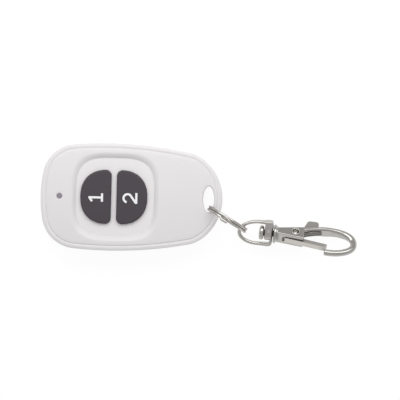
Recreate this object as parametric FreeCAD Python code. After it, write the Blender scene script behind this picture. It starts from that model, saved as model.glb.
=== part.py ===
"""Key fob transmitter on a split ring with a swivel snap hook.

Frame: the fob lies on its back. X runs along the fob towards the key ring, Y across it, Z up.
The origin is the middle of the fob's length, on the surface that it lies on. Millimetres.
"""
import FreeCAD, Part
import math
import os

Vec = FreeCAD.Vector
X_AXIS = Vec(1, 0, 0)
Y_AXIS = Vec(0, 1, 0)
Z_AXIS = Vec(0, 0, 1)

# Fob outline, seen from above
fob_length = 58.0
fob_width = 34.2
widest_x = -7.0
lamp_end_radius = 42.0
lamp_corner_radius = 11.1
shoulder_radius = 10.0
ring_end_narrowing = 1.3
side_drop = 1.591

# Fob heights
split_height = 6.4
crown_x = -5.3
crown_radius = 240.0
foot_x = -9.0
foot_radius = 12.0
ring_end_lift = 5.4
side_tuck = 3.0
side_layers = 4
underside_round = 0.8

# Shell walls
wall = 1.5
floor_wall = 1.4
solid_end_length = 8.6
lip_height = 0.7
lip_wall = 0.7
lip_clearance = 0.08

# Rounded rim bead and the groove inside it
bead_round = 1.1
groove_inset = 1.3
groove_width = 0.45
groove_depth = 0.4

# Key pad recess, button pair and lamp hole
pad_end_margin = 9.8
pad_side_margin = 3.2
pad_squareness = 3.5
pad_slope_width = 1.3
pad_depth = 1.5
collar_depth = 1.0
collar_wall = 1.7
mat_clearance = 0.12
mat_thickness = 1.2
mat_skirt_wall = 2.4
button_end_border = 1.99
button_side_border = 4.05
button_offset = 2.16
button_squareness = 2.3
button_gap_shift = -0.35
button_gap = 1.85
button_corner = 1.75
button_rise = 1.1
button_edge_round = 0.35
button_clearance = 0.15
button_flange = 0.6
button_flange_height = 0.8
button_flange_gap = 0.1
button_travel = 0.4
lamp_inset = 6.0
lamp_hole_radius = 0.92
lens_radius = 0.88
lens_sink = 0.15
lens_flange_radius = 1.5
lens_flange_height = 0.8
lens_ceiling_gap = 0.15

# Key slot
slot_inset = 4.4
slot_half_width = 1.75
slot_half_length = 4.1
slot_round = 0.8

# Circuit board and what stands on it
board_thickness = 1.0
board_inset = 2.4
board_end_margin = 5.5
board_boss_clearance = 0.4
board_post_radius = 1.2
lamp_post_inset = 4.6
lamp_post_y = 6.2
ring_post_inset = 2.7
ring_post_y = 9.6
post_gap = 0.05
switch_offset = 5.9
switch_side = 6.0
switch_body_height = 1.6
plunger_radius = 1.6
plunger_height = 0.55
plunger_depth = 0.6
plunger_clearance = 0.06
contact_gap = 0.05
lamp_body_size = (3.2, 1.6, 1.0)
chip_margin = 5.3
chip_size = (5.0, 3.0, 1.4)
chip_leads = 4
lead_pitch = 1.27
lead_width = 0.4
lead_thickness = 0.2
lead_reach = 0.85
can_side = 3.8
can_height = 1.5
can_rim = 0.3
can_rim_height = 0.35
transistor_gap = 2.5
transistor_size = (1.3, 2.9, 1.0)
transistor_leg_y = 0.95
resistor_pitch_x = 2.2
resistor_margins = [4.7, 3.1]
capacitor_inset = 7.0
capacitor_y = [3.4, 5.0, -3.4]
chip_part_size = (1.6, 0.8, 0.5)
antenna_margin = 1.3
antenna_half_length = 6.0
antenna_wire_radius = 0.4
antenna_height = 2.0

# Coin cell and its contacts
cell_shift = -0.7
cell_radius = 10.0
cell_thickness = 1.6
cell_round = 0.4
cell_cap_step = 0.25
cell_cap_inset = 1.2
cell_clip_gap = 0.35
cell_spring_room = 0.55
clip_thickness = 0.25
clip_width = 6.0
clip_reach = 7.0
spring_leaf_width = 4.0
spring_leaf_length = 11.0
spring_leaf_thickness = 0.15

# Case screws: two at the lamp end, one before the key slot
lamp_screw_inset = 8.1
screw_side_margin = 6.7
lamp_screw_seat = 1.9
ring_screw_inset = 11.6
ring_screw_seat = 3.8
screw_head_radius = 1.9
screw_head_height = 1.2
screw_shank_radius = 1.0
screw_length = 4.6
screw_clearance = 0.2
boss_radius = 2.3
seat_thickness = 1.6

# Split ring: two turns of wire, standing upright through the slot
ring_outer_radius = 7.25
ring_wire = 0.68
ring_pitch = 1.1
ring_slot_distance = 6.2
ring_y = -6.12
ring_heading = -30.0
ring_crossing_angle = 100.0
ring_crossing_span = 45.0
ring_end_gap = 4.0

# Swivel and snap hook: placed by a line along the clasp, at the bow's apex
clasp_ring_distance_x = 3.93
clasp_ring_distance_y = -3.36
clasp_z = 5.3
clasp_heading = -5.3
hook_roll = -40.0

# Bow: round wire, flattened into lugs that end in a bar with the pin's boss
bow_wire = 1.15
bow_half_width = 3.55
bow_length = 10.3
bow_bar_thickness = 1.1
bow_bar_height = 2.4
bow_corner_round = 0.8
bow_lug_length = 2.6
bow_lug_taper = 0.9
bow_lug_thickness = 0.9
bow_boss_radius = 2.75
bow_boss_length = 1.95
bow_boss_round = 0.3
bow_recess_radius = 2.4
bow_recess_depth = 0.45
pin_radius = 1.0
pin_clearance = 0.05
pin_head_radius = 2.2
pin_head_height = 1.4
pin_head_round = 0.5
pin_end_gap = 0.08

# Hook casting: swivel collar, two cheeks, two rails and the hook
neck_gap = 0.1
neck_radius = 3.0
neck_bead_length = 0.9
neck_round = 0.4
neck_length = 1.4
shoulder_bead_radius = 2.5
shoulder_bead_round = 0.2
cheek_half_depth = 2.4
cheek_top_at_neck = 1.05
cheek_bottom_at_neck = 1.45
cheek_half_height_end = 2.4
cheek_length = 8.3
cheek_neck_overlap = 0.2
cheek_round = 0.3
slot_half = 1.1
slot_start = 1.5
slot_end = 15.4
rail_half_depth = 1.9
rail_overlap = 1.2
wire_half_depth = 0.9
bend_half_depth = 1.75
rail_squareness = 4.0
wire_squareness = 2.3
hook_top_u = 18.35
hook_bottom_u = 18.0
hook_right_u = 26.55
hook_mid_v = -1.0
hook_top_v = 4.0
hook_bottom_v = -5.93
hook_top_thickness = 1.35
hook_right_thickness = 1.7
hook_bottom_thickness = 1.6
hook_tip_u = 16.6
hook_tip_rise = 0.2
hook_root_drop = 1.9

# Trigger: rivet, gate arm, thumb tab and spring
rivet_u = 6.95
rivet_radius = 1.2
rivet_head_radius = 1.6
rivet_head_height = 0.3
rivet_head_round = 0.14
rivet_bore_radius = 1.0
rivet_bore_depth = 1.2
lever_half = 1.0
lever_clearance = 0.05
lever_boss_radius = 2.2
arm_heel_u = 3.7
arm_heel_v = -2.0
arm_tip_u = 17.35
arm_tip_v = -3.85
arm_tip_slant = 0.9
arm_heel_thickness = 1.45
arm_tip_thickness = 1.15
stem_low_u = 10.2
stem_low_v = 1.2
stem_root_v = 2.3
tab_left_u = 10.75
tab_right_u = 14.2
tab_top_v = 6.05
tab_heel_run = 1.05
tab_heel_v = 3.5
tab_round = 0.9
spring_wire = 0.35
spring_gap = 0.08
spring_foot = 0.6
spring_start_gap = 0.6
spring_pocket_half = 0.45
spring_pocket_radius = 1.85

# Values that follow from the sizes above
half_length = fob_length / 2
half_width = fob_width / 2
ring_end_radius = half_width - ring_end_narrowing
ring_end_centre_x = half_length - ring_end_radius
side_run = ring_end_centre_x - widest_x
side_radius = (side_run ** 2 + side_drop ** 2) / (2 * side_drop)
cavity_end_x = half_length - solid_end_length
lamp_x = lamp_inset - half_length
slot_x = half_length - slot_inset
ring_x = slot_x + ring_slot_distance
clasp_x = ring_x + clasp_ring_distance_x
clasp_y = ring_y + clasp_ring_distance_y
pad_half = half_width - pad_side_margin
pad_x = pad_end_margin + pad_half - half_length
pad_floor_half = pad_half - pad_slope_width
skirt_outer_half = pad_floor_half + collar_wall
skirt_inner_half = skirt_outer_half - mat_skirt_wall
button_gap_x = pad_x + button_gap_shift
button_reach = pad_floor_half - button_end_border
button_half_length = button_reach - button_offset
button_half_width = pad_floor_half - button_side_border
cell_x = pad_x + cell_shift
cell_bottom = floor_wall + clip_thickness
board_height = cell_bottom + cell_thickness + cell_spring_room
board_top = board_height + board_thickness
board_end_x = pad_x + skirt_outer_half + board_end_margin
chip_y = skirt_inner_half - chip_margin
transistor_y = -can_side / 2 - transistor_gap
board_posts = [(lamp_post_inset - half_length, lamp_post_y), (board_end_x - ring_post_inset, ring_post_y)]
plunger_top = board_top + switch_body_height + plunger_height
button_foot = plunger_top + contact_gap
mat_underside = button_foot + button_flange_height + button_flange_gap
pad_floor_height = mat_underside + mat_thickness
crown_height = pad_floor_height + pad_depth
switch_places = [button_gap_x - switch_offset, button_gap_x + switch_offset]
screw_places = [
    (lamp_screw_inset - half_length, half_width - screw_side_margin, lamp_screw_seat),
    (lamp_screw_inset - half_length, screw_side_margin - half_width, lamp_screw_seat),
    (half_length - ring_screw_inset, 0.0, ring_screw_seat),
]
base_u = bow_length + bow_bar_thickness / 2
boss_start_u = bow_length - bow_bar_thickness / 2 - bow_boss_length
neck_u = base_u + neck_gap
body_u = neck_u + neck_length
cheek_end_u = body_u + cheek_length
spring_radius = rivet_radius + spring_gap + spring_wire / 2


def unit(vector):
    """The vector with length one."""
    return vector * (1.0 / vector.Length)


def arc_about(centre, start, end):
    """The shorter arc about a centre from start to end."""
    radius = (start - centre).Length
    middle = centre + unit((start - centre) + (end - centre)) * radius
    return Part.Arc(start, middle, end).toShape()


def crossing(centre_a, radius_a, centre_b, radius_b, ahead):
    """Where two circles cross: the point further along X if ahead is 1, further back if -1."""
    apart = centre_b - centre_a
    gap = apart.Length
    along = (radius_a ** 2 - radius_b ** 2 + gap ** 2) / (2 * gap)
    across = math.sqrt(radius_a ** 2 - along ** 2)
    step = unit(apart)
    foot = centre_a + step * along
    one = foot + Vec(-step.y, step.x, 0) * across
    two = foot - Vec(-step.y, step.x, 0) * across
    return one if one.x * ahead > two.x * ahead else two


def outline(inset, height):
    """The fob's closed outline of tangent arcs, moved inwards by inset, at one height."""
    lamp_centre = Vec(lamp_end_radius - half_length, 0, 0)
    ring_centre = Vec(ring_end_centre_x, 0, 0)
    sides = {}
    for side in (1, -1):
        side_centre = Vec(widest_x, side * (half_width - side_radius), 0)
        corner = crossing(lamp_centre, lamp_end_radius - lamp_corner_radius,
                          side_centre, side_radius - lamp_corner_radius, -1)
        shoulder = crossing(ring_centre, ring_end_radius - shoulder_radius,
                            side_centre, side_radius - shoulder_radius, 1)
        corner_start = lamp_centre + unit(corner - lamp_centre) * (lamp_end_radius - inset)
        corner_end = side_centre + unit(corner - side_centre) * (side_radius - inset)
        shoulder_start = side_centre + unit(shoulder - side_centre) * (side_radius - inset)
        shoulder_end = ring_centre + unit(shoulder - ring_centre) * (ring_end_radius - inset)
        sides[side] = (side_centre, corner, shoulder,
                       corner_start, corner_end, shoulder_start, shoulder_end)
    up = sides[1]
    low = sides[-1]
    edges = [
        arc_about(lamp_centre, low[3], up[3]),
        arc_about(up[1], up[3], up[4]),
        arc_about(up[0], up[4], up[5]),
        arc_about(up[2], up[5], up[6]),
        arc_about(ring_centre, up[6], low[6]),
        arc_about(low[2], low[6], low[5]),
        arc_about(low[0], low[5], low[4]),
        arc_about(low[1], low[4], low[3]),
    ]
    wire = Part.Wire(edges)
    wire.translate(Vec(0, 0, height))
    return wire


def prism(wire, height):
    """A closed wire raised by height."""
    return Part.Face(wire).extrude(Vec(0, 0, height))


def superellipse(centre_x, half_length, half_width, power, height):
    """A closed smooth outline: |x/a| and |y/b|, each to the power, add up to one."""
    steps = 24
    points = []
    for step in range(steps):
        turn = 2 * math.pi * step / steps
        reach = (abs(math.cos(turn)) ** power + abs(math.sin(turn)) ** power) ** (-1 / power)
        points.append(Vec(centre_x + half_length * reach * math.cos(turn),
                          half_width * reach * math.sin(turn), height))
    curve = Part.BSplineCurve()
    curve.interpolate(Points=points, PeriodicFlag=True)
    return Part.Wire([curve.toShape()])


def pad_outline(inset, height):
    """The recess outline, moved inwards by inset."""
    half = pad_half - inset
    return superellipse(pad_x, half, half, pad_squareness, height)


def ball(radius, centre, seam):
    """A ball whose seam is on top if seam is 1, underneath if -1, away from the part it cuts."""
    shape = Part.makeSphere(radius)
    shape.rotate(Vec(0, 0, 0), Y_AXIS, -90 * seam)
    shape.translate(centre)
    return shape


def crown_ball(drop):
    """The ball whose top is the fob's crown, lowered by drop."""
    return ball(crown_radius - drop, Vec(crown_x, 0, crown_height - crown_radius), -1)


def crown_z(x, y, drop=0.0):
    """Height of the crown above one place."""
    rise = math.sqrt((crown_radius - drop) ** 2 - (x - crown_x) ** 2 - y ** 2)
    return crown_height - crown_radius + rise


def foot_ball(thickness):
    """The ball whose lower side is the underside, moved inwards by thickness.

    It crosses the ground at the foot's radius and reaches the lift at the ring end.
    """
    reach = half_length - foot_x
    centre_z = (reach ** 2 + ring_end_lift ** 2 - foot_radius ** 2) / (2 * ring_end_lift)
    radius = math.sqrt(foot_radius ** 2 + centre_z ** 2)
    return ball(radius - thickness, Vec(foot_x, 0, centre_z), 1)


def slot_prism():
    """The key slot's elliptical cutter."""
    ellipse = Part.Ellipse(Vec(slot_x, 0, 0), slot_half_length, slot_half_width)
    edge = ellipse.toShape()
    edge.rotate(Vec(slot_x, 0, 0), Z_AXIS, 90)
    edge.translate(Vec(0, 0, -1))
    return prism(Part.Wire([edge]), crown_height + 4)


def rounded(shape, radius, wanted):
    """The shape with a fillet on each edge for which wanted is true."""
    edges = [edge for edge in shape.Edges if wanted(edge)]
    return shape.makeFillet(radius, edges)


def cylinder(radius, height, x, y, z):
    """An upright cylinder."""
    return Part.makeCylinder(radius, height, Vec(x, y, z), Z_AXIS)


def block(size, x, y, z):
    """An upright block, centred on x and y, standing on z."""
    return Part.makeBox(size[0], size[1], size[2], Vec(x - size[0] / 2, y - size[1] / 2, z))


def boss_heights(place):
    """The height where the two shells' screw bosses meet."""
    return place[2] + seat_thickness


def lower_form(inset, top):
    """The lower shell's tucked-in outer form, moved inwards, up to a height."""
    sections = []
    for layer in range(side_layers + 1):
        height = top * layer / side_layers
        tuck = side_tuck * (1 - height / split_height) ** 2
        sections.append(outline(inset + tuck, height))
    return Part.makeLoft(sections, True, False)


def bottom_shell():
    """The lower cover: tucked sides, boat-shaped underside, screw seats and board posts."""
    outer = lower_form(0, split_height).common(foot_ball(0))
    outer = rounded(outer, underside_round, is_underside_rim)
    hollow = lower_form(wall, split_height).common(foot_ball(floor_wall))
    keep = Part.makeBox(fob_length, fob_width, split_height,
                        Vec(cavity_end_x - fob_length, -half_width, floor_wall))
    hollow = hollow.common(keep)
    shell = outer.cut(hollow)
    lip = prism(outline(wall - lip_wall, split_height - 0.01), lip_height + 0.01)
    lip = lip.cut(prism(outline(wall, split_height - 1), lip_height + 2))
    shell = shell.fuse(lip)
    inside = lower_form(wall / 2, split_height).common(foot_ball(floor_wall / 2))
    for x, y, seat in screw_places:
        boss = cylinder(boss_radius, seat + seat_thickness, x, y, 0).common(inside)
        shell = shell.fuse(boss)
    for x, half in board_posts:
        for y in (half, -half):
            post = cylinder(board_post_radius, board_height, x, y, 0).common(inside)
            shell = shell.fuse(post)
    for x, y, seat in screw_places:
        shell = shell.cut(cylinder(screw_head_radius + screw_clearance, seat + 1, x, y, -1))
        shell = shell.cut(cylinder(screw_shank_radius + screw_clearance, split_height, x, y, 0))
    shell = shell.cut(slot_prism()).removeSplitter()
    return rounded(shell, slot_round, lambda edge: is_slot_edge(edge, 0, split_height - 0.1))


def is_slot_edge(edge, low, high):
    """True for the key slot's edge between two heights."""
    box = edge.BoundBox
    margin = 0.1
    inside = box.XMin > slot_x - slot_half_width - margin and box.XMax < slot_x + slot_half_width + margin
    return inside and box.YLength > slot_half_length and box.ZMin > low and box.ZMax < high


def is_underside_rim(edge):
    """True for the edges where the underside meets the tucked sides."""
    box = edge.BoundBox
    ends = [vertex.Point for vertex in edge.Vertexes]
    flat = box.ZMax < 0.01
    top = box.ZMin > split_height - 0.01
    upright = len(ends) == 2 and abs(ends[0].z - ends[1].z) > 0.8 * edge.Length
    return not flat and not top and not upright


def top_shell():
    """The upper cover: rim bead, groove, raised plate, key pad recess and key slot."""
    height = crown_height - split_height + 1
    outer = prism(outline(0, split_height), height).common(crown_ball(0))
    outer = rounded(outer, bead_round, lambda edge: edge.BoundBox.ZMin > split_height + 0.5
                    and edge.BoundBox.ZMax - edge.BoundBox.ZMin < edge.Length * 0.5)
    groove = prism(outline(groove_inset, split_height), height)
    groove = groove.cut(prism(outline(groove_inset + groove_width, split_height), height))
    outer = outer.cut(groove.cut(crown_ball(groove_depth)))
    hollow = prism(outline(wall, split_height), height).common(crown_ball(wall))
    hollow = hollow.common(Part.makeBox(fob_length, fob_width, height,
                                        Vec(cavity_end_x - fob_length, -half_width, split_height)))
    shell = outer.cut(hollow)
    rebate = prism(outline(wall - lip_wall - lip_clearance, split_height), lip_height + lip_clearance)
    shell = shell.cut(rebate.cut(prism(outline(wall + lip_clearance, split_height), height)))
    collar_base = pad_floor_height - collar_depth
    collar = prism(pad_outline(pad_slope_width - collar_wall, collar_base), height)
    collar = collar.common(crown_ball(wall / 2))
    shell = shell.fuse(collar)
    ceiling = crown_ball(wall / 2)
    for place in screw_places:
        low = boss_heights(place)
        boss = cylinder(boss_radius, height + split_height - low, place[0], place[1], low)
        shell = shell.fuse(boss.common(ceiling))
    for x, half in board_posts:
        for y in (half, -half):
            low = board_top + post_gap
            post = cylinder(board_post_radius, crown_height - low, x, y, low)
            shell = shell.fuse(post.common(ceiling))
    shell = shell.cut(prism(pad_outline(pad_slope_width, collar_base - 1), height + 2))
    bowl = Part.makeLoft([pad_outline(pad_slope_width, pad_floor_height),
                          pad_outline(0, crown_z(pad_x + pad_half, 0)),
                          pad_outline(-pad_slope_width, crown_height + 1.2)], True, True)
    shell = shell.cut(bowl)
    for x, y, seat in screw_places:
        shell = shell.cut(cylinder(screw_shank_radius, screw_length, x, y, seat))
    shell = shell.cut(cylinder(lamp_hole_radius, height, lamp_x, 0, split_height))
    shell = shell.cut(slot_prism()).removeSplitter()
    return rounded(shell, slot_round, lambda edge: is_slot_edge(edge, split_height + 0.1, crown_height))


def button_form(centre_x, side, growth, low, high):
    """One D-shaped button: a superellipse cut straight beside the gap, grown by growth."""
    form = prism(superellipse(centre_x, button_half_length + growth,
                              button_half_width + growth, button_squareness, low), high - low)
    edge_x = button_gap_x + side * (button_gap / 2 - growth)
    span = 4 * button_half_length
    corner_x = edge_x if side > 0 else edge_x - span
    form = form.common(Part.makeBox(span, span, high - low + 2, Vec(corner_x, -span / 2, low - 1)))
    corner = button_corner + growth
    return rounded(form, corner, lambda edge: is_upright_at(edge, edge_x))


def is_upright_at(edge, x):
    """True for an upright edge that stands at x."""
    box = edge.BoundBox
    return box.XLength < 0.01 and box.YLength < 0.01 and abs(box.XMin - x) < 0.01


def button(side):
    """A D-shaped cap over a wider flange that the mat holds down."""
    centre_x = button_gap_x + side * button_offset
    top = pad_floor_height + button_rise
    cap = button_form(centre_x, side, 0, button_foot, top)
    cap = rounded(cap, button_edge_round, lambda edge: edge.BoundBox.ZMin > top - 0.01)
    flange_top = mat_underside - button_flange_gap
    flange = button_form(centre_x, side, button_flange, button_foot, flange_top)
    return cap.fuse(flange).removeSplitter()


def keypad_mat():
    """The silicone mat: the recess floor, a rim under the collar and a skirt on the board."""
    top = pad_floor_height
    plug = prism(pad_outline(pad_slope_width + mat_clearance, mat_underside), mat_thickness)
    rim_top = pad_floor_height - collar_depth - mat_clearance
    skirt = prism(pad_outline(pad_half - skirt_outer_half, board_top), rim_top - board_top)
    inside = prism(pad_outline(pad_half - skirt_inner_half, board_top - 1), mat_underside - board_top + 1)
    mat = plug.fuse(skirt).cut(inside)
    for side in (-1, 1):
        centre_x = button_gap_x + side * button_offset
        mat = mat.cut(button_form(centre_x, side, button_clearance, mat_underside - 1, top + 1))
    return mat.removeSplitter()


def lamp_lens():
    """The small lens in the lamp hole, with a flange under the ceiling."""
    low = board_top + lamp_body_size[2] + contact_gap
    top = crown_z(lamp_x, 0) - lens_sink
    flange_top = crown_z(lamp_x, 0, wall) - lens_ceiling_gap
    stem = cylinder(lens_radius, top - low, lamp_x, 0, low)
    flange = cylinder(lens_flange_radius, lens_flange_height, lamp_x, 0,
                      flange_top - lens_flange_height)
    lens = stem.fuse(flange)
    return rounded(lens, 0.3, lambda edge: edge.BoundBox.ZMin > top - 0.01)


def circuit_board():
    """The board: inside the shells, cut square before the ring end, notched round the bosses."""
    board = prism(outline(board_inset, board_height), board_thickness)
    board = board.common(Part.makeBox(fob_length, fob_width, 2 * board_thickness,
                                      Vec(board_end_x - fob_length, -half_width, board_height)))
    radius = boss_radius + board_boss_clearance
    low = board_height - board_thickness / 2
    for x, y, seat in screw_places:
        board = board.cut(cylinder(radius, 2 * board_thickness, x, y, low))
        notch = Part.makeBox(half_length, 2 * radius, 2 * board_thickness, Vec(0, -radius, low))
        notch.rotate(Vec(0, 0, 0), Z_AXIS, math.copysign(90, y) if y else 0)
        notch.translate(Vec(x, y, 0))
        board = board.cut(notch)
    return board


def switch_body(x):
    """A low switch body with the plunger's well."""
    low = board_top
    body = block((switch_side, switch_side, switch_body_height), x, 0, low)
    body = rounded(body, 0.5, lambda edge: edge.BoundBox.ZLength > switch_body_height - 0.1)
    well = plunger_depth + button_travel + plunger_clearance
    return body.cut(cylinder(plunger_radius + plunger_clearance, well + 1, x, 0,
                             low + switch_body_height - well))


def switch_plunger(x):
    """The round plunger that a button presses."""
    height = plunger_depth + plunger_height
    plunger = cylinder(plunger_radius, height, x, 0, plunger_top - height)
    return rounded(plunger, 0.15, lambda edge: edge.BoundBox.ZMin > plunger_top - 0.01)


def encoder_chip():
    """A small chip with a row of leads on its two long sides."""
    length, width, height = chip_size
    chip = block(chip_size, button_gap_x, chip_y, board_top)
    for index in range(chip_leads):
        x = button_gap_x + (index - (chip_leads - 1) / 2) * lead_pitch
        for side in (1, -1):
            middle = chip_y + side * (width + lead_reach) / 2
            shin_y = chip_y + side * (width + lead_thickness) / 2
            foot = block((lead_width, lead_reach, lead_thickness), x, middle, board_top)
            shin = block((lead_width, lead_thickness, height / 2), x, shin_y, board_top)
            chip = chip.fuse(foot).fuse(shin)
    return chip.removeSplitter()


def transmitter_can():
    """The resonator's square drawn can on its wider base."""
    inner = can_side - 2 * can_rim
    can = block((inner, inner, can_height), button_gap_x, 0, board_top)
    can = rounded(can, can_rim, lambda edge: edge.BoundBox.ZMax > board_top + can_rim_height)
    base = block((can_side, can_side, can_rim_height), button_gap_x, 0, board_top)
    return can.fuse(base).removeSplitter()


def radio_transistor():
    """A three-legged surface transistor."""
    body = block(transistor_size, button_gap_x, transistor_y, board_top)
    leg_x = (transistor_size[0] + lead_reach) / 2
    for side, y in ((1, 0), (-1, transistor_leg_y), (-1, -transistor_leg_y)):
        leg = block((lead_reach, lead_width, lead_thickness),
                    button_gap_x + side * leg_x, transistor_y + y, board_top)
        body = body.fuse(leg)
    return body.removeSplitter()


def chip_parts(places, size):
    """A group of small surface parts standing on the board."""
    return Part.makeCompound([block(size, x, y, board_top) for x, y in places])


def resistor_places():
    """Two columns of resistors beside the pair's middle line."""
    columns = (button_gap_x - resistor_pitch_x / 2, button_gap_x + resistor_pitch_x / 2)
    return [(x, margin - skirt_inner_half) for x in columns for margin in resistor_margins]


def bent_wire(points, radius, bend):
    """A round wire along straight runs joined by tangent arcs of one bend radius."""
    edges = []
    start = points[0]
    for before, corner, after in zip(points, points[1:], points[2:]):
        into = unit(corner - before)
        out = unit(after - corner)
        half_turn = into.getAngle(out) / 2
        reach = bend * math.tan(half_turn)
        arc_start = corner - into * reach
        arc_end = corner + out * reach
        inwards = unit(out - into)
        centre = corner + inwards * (bend / math.cos(half_turn))
        edges.append(Part.makeLine(start, arc_start))
        edges.append(arc_about(centre, arc_start, arc_end))
        start = arc_end
    edges.append(Part.makeLine(start, points[-1]))
    path = Part.Wire(edges)
    circle = Part.Wire([Part.makeCircle(radius, points[0], unit(points[1] - points[0]))])
    return path.makePipeShell([circle], True, False)


def antenna_loop():
    """The loop antenna: a staple of wire on the board, along the inside of the mat's skirt."""
    high = board_top + antenna_height
    left = button_gap_x - antenna_half_length
    right = button_gap_x + antenna_half_length
    y = antenna_margin - skirt_inner_half
    points = [Vec(left, y, board_top), Vec(left, y, high), Vec(right, y, high), Vec(right, y, board_top)]
    return bent_wire(points, antenna_wire_radius, 2 * antenna_wire_radius)


def coin_cell():
    """The cell: a can with a slightly smaller cap on its upper side."""
    can = cylinder(cell_radius, cell_thickness - cell_cap_step, cell_x, 0, cell_bottom)
    can = rounded(can, cell_round, lambda edge: edge.BoundBox.ZMax < cell_bottom + 0.01)
    return can.fuse(cylinder(cell_radius - cell_cap_inset, cell_thickness, cell_x, 0, cell_bottom))


def cell_clip():
    """The positive contact: a strip under the cell with a leg up to the board."""
    low = cell_bottom - clip_thickness
    left = cell_x - cell_radius - cell_clip_gap - clip_thickness
    strip = Part.makeBox(clip_reach, clip_width, clip_thickness, Vec(left, -clip_width / 2, low))
    leg = Part.makeBox(clip_thickness, clip_width, board_height - low, Vec(left, -clip_width / 2, low))
    return strip.fuse(leg).removeSplitter()


def cell_spring():
    """The negative contact: a shallow arched leaf between the cell and the board."""
    low = cell_bottom + cell_thickness
    rise = cell_spring_room - spring_leaf_thickness
    half = spring_leaf_length / 2
    lower = Part.Arc(Vec(cell_x - half, 0, board_height - spring_leaf_thickness),
                     Vec(cell_x, 0, low), Vec(cell_x + half, 0, board_height - spring_leaf_thickness))
    upper = Part.Arc(Vec(cell_x - half, 0, board_height), Vec(cell_x, 0, board_height - rise),
                     Vec(cell_x + half, 0, board_height))
    ends = [Part.makeLine(lower.StartPoint, upper.StartPoint),
            Part.makeLine(lower.EndPoint, upper.EndPoint)]
    wire = Part.Wire(Part.__sortEdges__([lower.toShape(), ends[1], upper.toShape(), ends[0]]))
    leaf = Part.Face(wire).extrude(Vec(0, spring_leaf_width, 0))
    leaf.translate(Vec(0, -spring_leaf_width / 2, 0))
    return leaf


def case_screws():
    """Three pan-head screws from below."""
    screws = []
    for x, y, seat in screw_places:
        head = cylinder(screw_head_radius, screw_head_height, x, y, seat - screw_head_height)
        head = rounded(head, 0.4, lambda edge: edge.BoundBox.ZMax < seat - screw_head_height + 0.01)
        screws.append(head.fuse(cylinder(screw_shank_radius, screw_length, x, y, seat)))
    return Part.makeCompound(screws)


def arc_from_tangent(start, tangent, end):
    """The arc that leaves start along the tangent and arrives at end."""
    chord = end - start
    angle = tangent.getAngle(chord)
    if angle < 1e-6:
        return Part.makeLine(start, end)
    lean = unit(tangent - unit(chord) * tangent.dot(unit(chord)))
    middle = (start + end) * 0.5 + lean * (chord.Length / 2 * math.tan(angle / 2))
    return Part.Arc(start, middle, end).toShape()


def biarc(start, tangent, end, end_tangent):
    """Two arcs from start to end that keep both tangents and share one at their joint."""
    chord = end - start
    both = tangent + end_tangent
    spread = 2 * (1 - tangent.dot(end_tangent))
    along = chord.dot(both)
    reach = (-along + math.sqrt(along ** 2 + spread * chord.dot(chord))) / spread
    first = start + tangent * reach
    second = end - end_tangent * reach
    joint = (first + second) * 0.5
    heading = unit(second - first)
    return [arc_from_tangent(start, tangent, joint), arc_from_tangent(joint, heading, end)]


def ring_frame():
    """The split ring's centre, its level direction and its axis."""
    turn = math.radians(ring_heading)
    along = Vec(math.cos(turn), math.sin(turn), 0)
    across = Vec(-math.sin(turn), math.cos(turn), 0)
    return Vec(ring_x, ring_y, ring_outer_radius), along, across


def ring_point(turn, lane):
    """A point of the ring's wire: turn in degrees from the level direction, lane along its axis."""
    centre, along, across = ring_frame()
    radius = ring_outer_radius - ring_wire / 2
    angle = math.radians(turn)
    return centre + along * (radius * math.cos(angle)) + Z_AXIS * (radius * math.sin(angle)) + across * lane


def ring_tangent(turn):
    """The wire's heading at a turn, where it stays in its lane."""
    centre, along, across = ring_frame()
    angle = math.radians(turn)
    return Z_AXIS * math.cos(angle) - along * math.sin(angle)


def split_ring():
    """Two turns of one wire: a lane each side, and one crossing from lane to lane."""
    low = -ring_pitch / 2
    high = ring_pitch / 2
    begin = ring_crossing_angle
    cross_start = begin + 360 - ring_crossing_span - ring_end_gap
    cross_end = begin + 360 - ring_end_gap
    finish = cross_start + 360 - ring_end_gap
    edges = []

    def lane_run(start, end, lane):
        pieces = 4
        for piece in range(pieces):
            one = start + (end - start) * piece / pieces
            two = start + (end - start) * (piece + 1) / pieces
            middle = (one + two) / 2
            edges.append(Part.Arc(ring_point(one, lane), ring_point(middle, lane),
                                  ring_point(two, lane)).toShape())

    lane_run(begin, cross_start, low)
    edges.extend(biarc(ring_point(cross_start, low), ring_tangent(cross_start),
                       ring_point(cross_end, high), ring_tangent(cross_end)))
    lane_run(cross_end, finish, high)
    path = Part.Wire(edges)
    circle = Part.Wire([Part.makeCircle(ring_wire / 2, ring_point(begin, low), ring_tangent(begin))])
    print_least_gap(path)
    return path.makePipeShell([circle], True, False)


def print_least_gap(path):
    """Print the least gap between the ring's two turns, measured on points of its wire."""
    points = path.discretize(Number=360)
    length = path.Length
    step = length / 359
    skip = int(math.pi * ring_outer_radius / step)
    least = length
    for index, point in enumerate(points):
        for other in points[index + skip:]:
            least = min(least, (point - other).Length)
    print("split ring: least gap between turns", round(least - ring_wire, 3), "mm")


def placed(shape, roll):
    """Put a piece built along the clasp's own axis where the clasp lies."""
    shape.rotate(Vec(0, 0, 0), X_AXIS, roll)
    shape.rotate(Vec(0, 0, 0), Z_AXIS, clasp_heading)
    shape.translate(Vec(clasp_x, clasp_y, clasp_z))
    return shape


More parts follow.
